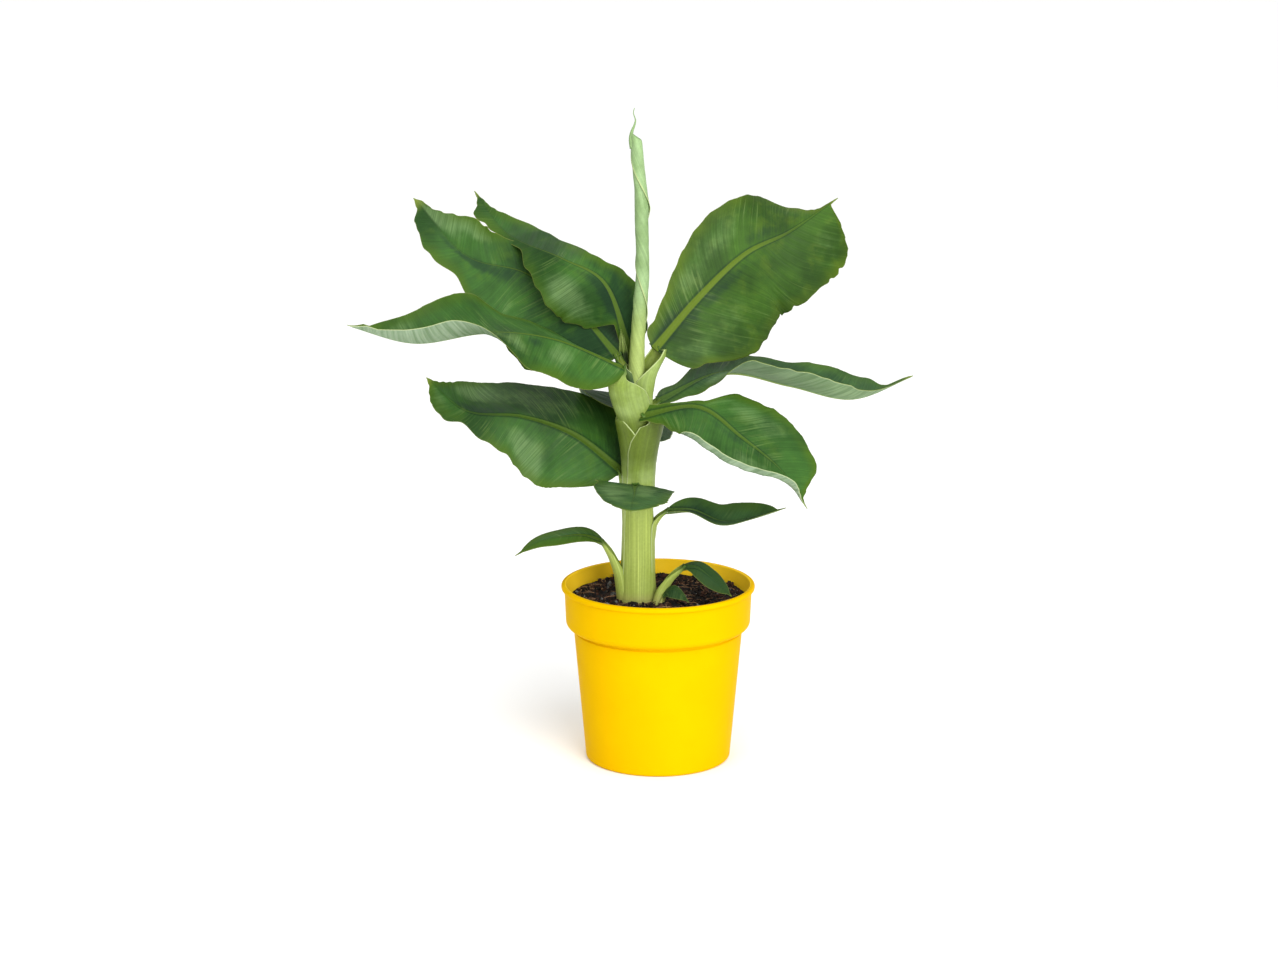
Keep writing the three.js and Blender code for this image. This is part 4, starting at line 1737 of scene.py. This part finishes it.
LEAVES = (
    Leaf(
        "upper_right",
        ((-3.5, 0, 411), (40, 18, 459), (84, 38, 497), (128, 52, 517), (175, 64, 548)),
        HalfBlade(
            (60, 34, 35, 41, 47, 53, 58, 62, 68, 79, 57, 26, 26), (70, 66, 20), (10, 0, -20),
            tail=(10.5, 6, 3.5, 3, 2.2, 1.4, 0.5),
        ),
        HalfBlade(
            (132, 88, 91, 91, 85, 80, 76, 73, 70, 63, 64, 72, 72), (-65, -86, -60), (-10, -10, 15), 20,
            tail=(53, 48.5, 37.5, 25, 1.5, 0.8, 0.5),
            nicks=((0.83, 3.0, 0.008), (0.785, 2.5, 0.008), (0.64, 2.5, 0.01), (0.5, 2.5, 0.012)),
        ),
        Stalk(
            ((-15, -5, 348), (-10, -4, 372), (-5, -2, 393)), (7.5, 6), (5, 4), 0,
            (
                (304, 16.8, 14.5, -19, -4, 165, 165), (330, 15.3, 12.6, -19, -4, 160, 160),
                (352, 13.4, 10.8, -19.3, -4, 150, 150), (367, 12.5, 10, -17.5, -3.6, 150, 140),
                (382, 11.5, 9.4, -14, -3, 140, 125), (388, 11.4, 9, -12, -2.6, 140, 104),
                (395, 11.2, 8.4, -8.6, -2, 146, 82), (403, 10.4, 7.4, -3.4, 0, 150, 62),
                (411, 8, 6, 0.4, 1, 150, 45),
            ),
            0.9,
        ),
        Age.YOUNG,
        rib_power=1.0,
        seed=1,
        patches=(
            Patch(0.26, -0.5, 0.1, 0.4, 0.4), Patch(0.45, -0.55, 0.1, 0.35, 0.45),
            Patch(0.1, 0.6, 0.1, 0.3, 0.4), Patch(0.3, 0.45, 0.1, 0.2, 0.3),
            Patch(0.86, 0.5, 0.06, 0.3, 0.3), Patch(0.62, -0.2, 0.1, 0.16, -0.6),
            Patch(0.3, 0.12, 0.25, 0.1, -0.7), Patch(0.1, -0.3, 0.1, 0.3, -0.6),
        ),
    ),
    Leaf(
        "upper_back",
        ((-28, 10, 408), (-51, 12, 472), (-93, 20, 496), (-148, 92, 508), (-181.5, 118, 546.5)),
        HalfBlade(
            (2, 4, 55, 65, 60, 54, 42, 29, 10, 7, 22, 50, 50), (-70, -70, -60, -40, -20), (-10, 0, 0),
            tail=(15.5, 15.5, 6.5, 2, 0.5),
        ),
        HalfBlade(
            (90, 56, 45, 34, 24, 24.5, 28, 29, 37, 41, 37, 24, 20), (20, 14, 20, 22, 12), (6, 0, 6),
            tail=(9, 5, 3.5, 1.2, 0.5),
        ),
        Stalk(
            ((-25, 4, 352), (-28, 8, 376), (-29, 9, 394)), (6, 5), (4.5, 3.5), 140,
            (
                (322, 15, 12.3, -19.2, -4, 160, 160), (352, 11.6, 9.2, -20.5, -2.5, 140, 140),
                (376, 9.5, 8, -24.5, 2.5, 120, 120), (394, 8, 7, -27, 6, 100, 100),
            ),
            shaded=True,
        ),
        Age.GROWN,
        steady=0.6,
        seed=2,
        patches=(
            Patch(0.42, -0.55, 0.08, 0.3, 0.8), Patch(0.28, -0.65, 0.14, 0.3, 0.7),
            Patch(0.3, 0.6, 0.15, 0.4, -0.6), Patch(0.12, 0.2, 0.12, 0.6, -1.0),
            Patch(0.3, -0.12, 0.25, 0.1, -0.8),
        ),
    ),
    Leaf(
        "upper_left",
        ((-39, 0, 404), (-79, 30, 443), (-130, 58, 475), (-188, 66, 491), (-238.5, 66, 547.5)),
        HalfBlade(
            (84, 92, 86, 88, 79, 71, 65, 61, 46, 25, 32, 58, 60), (-72, -72, -60, -50, -75), (-10, 0, 0), 9,
            tail=(21, 17.5, 14.5, 4, 0.5),
        ),
        HalfBlade(
            (60, 57, 53, 50, 46, 42, 36, 33, 38, 48, 62, 60, 60), (10, 20, 40, 72, 60), (0, 5, 10), 4.5,
            tail=(21, 13, 7, 5, 0.5),
        ),
        Stalk(
            ((-28, -4, 350), (-32, -3, 372), (-36, -2, 390)), (7, 5), (5, 4), 180,
            (
                (310, 16.7, 14.3, -19.2, -4, 165, 165), (330, 15.1, 12.4, -19.2, -4, 160, 160),
                (352, 12.6, 10, -20, -3.8, 150, 150), (372, 11.5, 8.6, -22.8, -3, 140, 140),
                (386, 10.5, 7.5, -27.5, -2, 120, 125), (396, 9, 6.5, -32.5, -1, 105, 110),
            ),
            shaded=True,
        ),
        Age.GROWN,
        seed=3,
        patches=(
            Patch(0.9, 0.5, 0.08, 0.5, 1.5), Patch(0.76, 0.75, 0.08, 0.2, 1.1),
            Patch(0.7, -0.1, 0.2, 0.14, -1.0), Patch(0.35, -0.3, 0.2, 0.4, -0.5),
            Patch(0.1, 0.0, 0.12, 1.0, -1.0), Patch(0.5, -0.6, 0.05, 0.3, 0.6),
        ),
    ),
    Leaf(
        "middle_left",
        ((-31, -14, 394.5), (-98, -40, 428), (-163, -68, 441), (-229, -92, 436), (-290, -115, 457)),
        HalfBlade(
            (70, 61, 58, 54, 52, 54, 50, 50, 50, 49, 47, 46, 46), (-64, -36, 34, 38), (-20, -16, 28, 18), 2,
            base=8.0,
        ),
        HalfBlade((52, 58, 48, 48), (-8, 8, 58, 34), (0, 0, 16, 10)),
        Stalk(
            ((-20, -13, 318), (-24, -18, 345), (-30, -17, 374)), (14, 5), (3.4, 3), 225,
            (
                (278, 15.7, 14.6, -19.5, -4, 175, 150), (318, 16.6, 14.6, -19.4, -4.4, 175, 150),
                (330, 16.6, 13.6, -20.4, -5, 165, 140), (345, 17.4, 13.2, -22.8, -7, 140, 130),
                (357, 18.6, 13.2, -25.6, -9.4, 126, 120), (368, 19.4, 13.2, -28, -11.4, 116, 110),
                (374, 19.4, 13, -29, -12.4, 104, 105), (381, 19, 12.4, -30.2, -13, 74, 100),
                (385, 18.2, 11.6, -31, -13.4, 40, 98), (390, 16, 10, -32, -13.6, 12, 96),
            ),
        ),
        Age.GROWN,
        seed=4,
        patches=(
            Patch(0.24, -0.4, 0.06, 0.3, 0.8), Patch(0.4, -0.3, 0.06, 0.3, 0.6),
            Patch(0.06, -0.4, 0.05, 0.4, 0.3), Patch(0.33, -0.2, 0.05, 0.2, -0.8),
            Patch(0.2, 0.3, 0.12, 0.3, 0.5), Patch(0.8, 0.5, 0.06, 0.3, 0.7),
        ),
    ),
    Leaf(
        "middle_right",
        ((-1, 6, 358), (64, 14, 386), (128, 20, 372), (190, 26, 357), (249, 32, 378)),
        HalfBlade(
            (57, 24, 38, 33, 42, 45, 41, 50, 55, 60, 57, 20, 20), (16, 17, 32, 18), (0, 0, 0, 8),
            tail=(6, 3.4, 3.2, 3, 2.8, 2, 0.5),
        ),
        HalfBlade(
            (21, 18, 29, 50, 58, 52, 46, 43, 43, 43, 42, 42, 42), (-58, 15, 28, 10), (-12, 18, 16, 0),
            frill=0.12, tail=(18, 12, 8, 6, 4, 2, 0.5),
        ),
        Stalk(
            ((-11, 1, 320), (-9, 3, 336), (-6, 5, 349)), (6, 6), (4.5, 4), 20,
            (
                (280, 16, 14.9, -19.4, -4, 160, 160), (320, 16.8, 14.6, -19, -4.2, 150, 150),
                (338, 15.8, 13.6, -18.4, -4.6, 130, 130), (344, 15.2, 12.6, -17.6, -4.6, 125, 119),
                (350, 14, 11.2, -16, -3, 120, 104), (356, 11.5, 8.6, -13, 0, 110, 90),
            ),
        ),
        Age.OLD,
        seed=5,
        patches=(
            Patch(0.1, 0.0, 0.1, 0.8, -0.4), Patch(0.35, -0.5, 0.08, 0.3, 0.5),
            Patch(0.7, -0.6, 0.1, 0.3, -0.5), Patch(0.24, 0.55, 0.1, 0.4, 1.0),
        ),
    ),
    Leaf(
        "lower_left",
        ((-36, 6, 289), (-81, 0, 326), (-131, -8, 346), (-185, -14, 353), (-223, -20, 387)),
        HalfBlade(
            (68, 66, 68, 68, 66, 60, 51, 41, 31, 18, 35, 60, 60), (-62, -72, -72, -60, -60), (-10, 0, 0), 5,
            tail=(18, 16, 11, 4, 0.5),
        ),
        HalfBlade(
            (120, 98, 83, 73, 68, 67, 67, 65, 66, 68, 68, 66, 66), (38, 18, 24), (10, 0, 10), 5,
            tail=(24, 16, 8, 3, 0.5),
        ),
        Stalk(
            ((-26, -1, 255), (-31, 3, 268), (-34, 5, 279)), (7, 5), (5, 4), 180,
            (
                (158, 21.4, 19.8, -20, -6, 34, 120), (170, 18.9, 17.7, -20, -6, 34, 120),
                (184, 17.5, 16.4, -19.8, -6, 34, 120), (200, 16.9, 15.9, -19.5, -6, 34, 120),
                (240, 15.4, 14.8, -19.8, -5, 36, 110), (260, 15.4, 14.4, -20.6, -4.4, 42, 105),
                (272, 14.4, 13, -23, -2.4, 60, 100), (282, 11, 9, -28, 1, 85, 96),
            ),
        ),
        Age.GROWN,
        rib_power=1.3,
        seed=6,
        patches=(
            Patch(0.45, 0.5, 0.3, 0.4, 0.4), Patch(0.42, -0.75, 0.07, 0.3, 1.4),
            Patch(0.5, -0.5, 0.08, 0.25, 0.8), Patch(0.74, 0.7, 0.12, 0.3, 1.0),
            Patch(0.68, 0.1, 0.18, 0.2, -0.9), Patch(0.08, 0.3, 0.1, 0.5, -0.5),
            Patch(0.9, -0.3, 0.06, 0.4, 0.5),
        ),
    ),
    Leaf(
        "lower_right",
        ((-18, -19, 349), (38, -38, 362), (79, -62, 338), (117, -80, 309), (141, -92, 275)),
        HalfBlade(
            (41, 16, 9, 13, 45, 50, 54, 56, 55, 54, 61, 66, 60), (55, 20, 26, 28, 30), (0, 0, -10), 6,
            tail=(20, 11, 3, 1.2, 0.5), base=7.0,
        ),
        HalfBlade(
            (20, 30, 49, 51, 52, 50, 46, 47, 52, 62, 68, 62, 60), (-33, -31, 24), (-10, 12, 34), 5,
            tail=(20, 10, 3, 1.2, 0.5), roll=(0, 40, 110, 115, 60, 0), base=2.0,
        ),
        Stalk(
            ((-12, -11, 302), (-13, -13, 322), (-16, -16, 338)), (11, 6), (4.5, 3.6), -28,
            (
                (250, 15.6, 15.1, -19.4, -5, 150, 120), (285, 16.5, 15.9, -19.3, -4.6, 140, 104),
                (299, 17.2, 16.7, -19, -4.6, 135, 102), (312, 18, 17.1, -17.9, -4.8, 130, 103),
                (323, 18.6, 17.1, -16.3, -5, 125, 97), (330, 18.9, 16.8, -14.7, -5.2, 120, 88),
                (338, 18.7, 16.2, -13, -6, 115, 78), (340, 18.6, 15.8, -12.6, -6.4, 112, 61),
                (346, 17.6, 13.6, -11, -8.4, 108, 40), (351, 14, 10, -8, -12, 100, 60),
            ),
        ),
        Age.GROWN,
        rib_power=1.2,
        seed=7,
        patches=(
            Patch(0.12, -0.2, 0.1, 0.5, -0.7), Patch(0.5, 0.15, 0.25, 0.12, -0.6),
            Patch(0.65, 0.5, 0.15, 0.3, 0.6), Patch(0.45, -0.6, 0.2, 0.3, 0.6),
        ),
    ),
    Leaf(
        "back",
        ((-36, 14, 347), (-31, 50, 354), (-22, 90, 340), (-16, 116, 314), (-14, 134, 284)),
        HalfBlade((50, 56, 56, 46), (12, 5, -20), (0, -10, -10)),
        HalfBlade((46, 54, 52, 52), (-26, -34, -30), (0, -5, -5), 5),
        Stalk(
            ((-29, 0, 306), (-34, 4, 322), (-36, 8, 336)), (8, 6), (5, 4), 165,
            (
                (262, 15.5, 14.8, -19.5, -4.8, 150, 150), (296, 16.3, 15.3, -19.5, -4.3, 150, 145),
                (312, 17.3, 15.8, -19.8, -4.1, 130, 140), (327, 18.3, 16, -21, -3.8, 108, 130),
                (333, 18.7, 16.2, -22, -4, 99, 125), (341, 18.8, 16.4, -23.3, -4.6, 81, 115),
                (346, 17.6, 15.8, -24, -6, 62, 105), (350, 16, 14, -25, -7, 45, 100),
            ),
        ),
        Age.SHADED,
        seed=8,
    ),
    Leaf(
        "front",
        ((-22, -24, 282), (-23, -50, 285), (-23, -78, 286), (-25, -106, 285), (-26, -134, 283)),
        HalfBlade(
            (10, 28, 30, 36, 42, 39, 38, 39, 43, 51, 62, 62, 62), (0, -4, 0), (0, 0, 10),
            tail=(27, 24, 19, 12, 0.5),
        ),
        HalfBlade(
            (140, 66, 47, 41, 40, 40, 42, 43, 43, 43, 47, 50, 50), (7, 8, 2), (0, 10, 8), 4.5,
            tail=(19, 16, 11, 6, 0.5),
        ),
        Stalk(
            ((-21, -14, 262), (-21, -18, 270), (-21, -21, 276)), (6, 5), (4, 3), 270,
            (
                (158, 21, 19.4, -20, -6, 100, 100), (170, 18.5, 17.3, -20, -6, 100, 100),
                (184, 17.2, 16.1, -19.8, -6, 100, 100), (200, 16.5, 15.5, -19.5, -6, 100, 100),
                (250, 15, 14.5, -19.5, -5, 100, 100), (266, 14, 13.6, -19.8, -6.4, 98, 98),
                (276, 10, 9, -21, -12, 96, 96),
            ),
        ),
        Age.OLD,
        seed=9,
        patches=(Patch(0.5, 0.55, 0.3, 0.4, 0.95), Patch(0.3, -0.3, 0.3, 0.3, 0.9)),
    ),
    Leaf(
        "small_right",
        ((8, -4, 252), (34, -8, 253), (62, -12, 243), (91, -16, 247), (124, -20, 258)),
        HalfBlade((18, 18, 24, 28), (41, 41, 43), tip_power=5, flare=1.0, wave=0.3),
        HalfBlade((20, 20, 21, 22), (10, -4, 8), (3, 11, 12), flare=1.0, wave=0.3),
        Stalk(
            ((-8, -6, 190), (-6, -6, 214), (-4, -6, 232), (1, -5, 244)), (6, 3.4), (4.2, 3.4), 0,
            (
                (166, 17.4, 16.6, -20, -6, 36, 36), (200, 16.6, 15.6, -19.5, -6, 38, 38),
                (221, 16.5, 15, -19.5, -5.6, 40, 40), (236, 12, 11, -13, -5.4, 56, 56),
                (246, 7, 6, -4, -5, 90, 90),
            ),
        ),
        Age.OLD,
        seed=10,
        patches=(Patch(0.2, 0.3, 0.25, 0.6, -1.2), Patch(0.6, 0.8, 0.25, 0.3, 1.1)),
    ),
    Leaf(
        "small_left",
        ((-53, -4, 220), (-72, -10, 228), (-95, -16, 228), (-117, -22, 224), (-139, -28, 212)),
        HalfBlade((10, 11, 13, 12), (-26, -31, -18), flare=1.0, wave=0.3),
        HalfBlade((22, 19, 17, 17), (22, 8, 12), flare=1.0, wave=0.3),
        Stalk(((-33, -9, 159), (-37.5, -9, 188), (-44.5, -7, 206)), (9, 7), (4.4, 3.6)),
        Age.GROWN,
        seed=11,
    ),
    Leaf(
        "offshoot_large",
        ((23, -20, 199), (37, -26, 200), (49, -32, 193), (61, -38, 184), (71, -46, 176)),
        HalfBlade((12, 11, 12, 12), (19, 19, 10), flare=1.0, wave=0.3),
        HalfBlade((7, 11, 13, 15), (-39, -40, -31), flare=1.0, wave=0.3),
        Stalk(((-1, -23, 159), (4, -20, 175), (12, -20, 188)), (6.5, 6), (4.6, 4)),
        Age.SHADED,
        seed=12,
    ),
    Leaf(
        "offshoot_small",
        ((4, -29, 171), (9, -30, 177), (15, -32, 179), (22, -35, 175), (30, -40, 168)),
        HalfBlade((9, 8, 7, 7), (25, 19, 10), flare=1.0, wave=0.3),
        HalfBlade((9, 11, 12, 12), (-39, -40, -32), flare=1.0, wave=0.3),
        Stalk(((1, -31, 159), (2, -30, 163), (3, -29, 167)), (2.2, 2.2), (1.6, 1.6)),
        Age.SHADED,
        seed=13,
    ),
)


@dataclass(frozen=True)
class Lamp:
    """A soft square lamp, in metres and watts, which faces the point that it aims at."""

    name: str
    place: Point
    aim: Point
    size: float
    power: float

    def hang(self) -> None:
        """Hangs the lamp in the studio."""
        data = bpy.data.lights.new(self.name, "AREA")
        data.size, data.energy = self.size, self.power
        lamp = bpy.data.objects.new(self.name, data)
        lamp.location = self.place
        lamp.rotation_euler = (Vector(self.place) - Vector(self.aim)).to_track_quat("Z", "Y").to_euler()
        bpy.context.scene.collection.objects.link(lamp)


@dataclass(frozen=True)
class Studio:
    """Plain pale floor, soft lamps and the camera.

    The ceiling's light comes from its direction, spread over ceiling_spread degrees. eye is the camera's
    place and pitch its angle from straight down.
    """

    eye: Point = (-0.0187, -3.2, 1.0566)
    pitch: float = 76.38
    lens: float = 95.2
    sensor: float = 36.0
    lamps: tuple[Lamp, ...] = (
        Lamp("key", (-1.3, -1.6, 2.0), (0, 0, 0.35), 1.2, 3),
        Lamp("front", (1.0, -2.45, 1.05), (0, 0, 0.28), 1.5, 47),
        Lamp("top", (-0.2, 0.9, 2.2), (0, 0, 0.4), 1.4, 10),
    )
    ceiling_direction: Point = (0.22, -0.7, 1.1)
    ceiling_strength: float = 1.8
    ceiling_spread: float = 60.0
    haze: float = 0.6
    floor_size: float = 40.0

    def build(self) -> None:
        """Sets up the floor, the light and the camera."""
        self.lay_floor()
        for lamp in self.lamps:
            lamp.hang()
        self.light_room()
        self.place_camera()

    def lay_floor(self) -> None:
        """Lays the pale paper that the pot stands on."""
        work = bmesh.new()
        bmesh.ops.create_grid(work, x_segments=1, y_segments=1, size=self.floor_size)
        mesh = bpy.data.meshes.new("floor")
        work.to_mesh(mesh)
        work.free()
        recipe = Recipe("floor_paper", roughness=0.9, specular=0.1)
        tone = recipe.mix(recipe.grain(recipe.places(), 3.0), paint(249, 249, 249), paint(252, 252, 251))
        recipe.feed("Base Color", tone)
        mesh.materials.append(recipe.material)
        floor = bpy.data.objects.new("floor", mesh)
        bpy.context.scene.collection.objects.link(floor)

    def light_room(self) -> None:
        """Adds the wide light from the ceiling and the even light of the room."""
        sky = bpy.data.lights.new("ceiling", "SUN")
        sky.energy, sky.angle = self.ceiling_strength, math.radians(self.ceiling_spread)
        ceiling = bpy.data.objects.new("ceiling", sky)
        ceiling.rotation_euler = Vector(self.ceiling_direction).to_track_quat("Z", "Y").to_euler()
        bpy.context.scene.collection.objects.link(ceiling)
        world = bpy.data.worlds.new("studio")
        world.use_nodes = True
        world.node_tree.nodes["Background"].inputs["Color"].default_value = (1, 1, 1, 1)
        world.node_tree.nodes["Background"].inputs["Strength"].default_value = self.haze
        bpy.context.scene.world = world
        bpy.context.scene.view_settings.view_transform = "Standard"

    def place_camera(self) -> None:
        """Puts the camera where the photograph was taken from."""
        camera = bpy.data.objects.new("camera", bpy.data.cameras.new("camera"))
        camera.location = self.eye
        camera.rotation_euler = (math.radians(self.pitch), 0, 0)
        camera.data.lens = self.lens
        camera.data.sensor_width = self.sensor
        bpy.context.scene.collection.objects.link(camera)
        bpy.context.scene.camera = camera


def main() -> None:
    """Builds the plant and its studio."""
    logging.basicConfig(level=logging.INFO, format="%(name)s %(message)s")
    Studio().build()
    Pot().build()
    stem = Stem()
    Soil().build(stem.foot)
    stem.build()
    RolledLeaf().build()
    Husk().build()
    for leaf in LEAVES:
        StalkPiece(leaf).build()
        Blade(leaf).build()


if __name__ == "__main__":
    main()
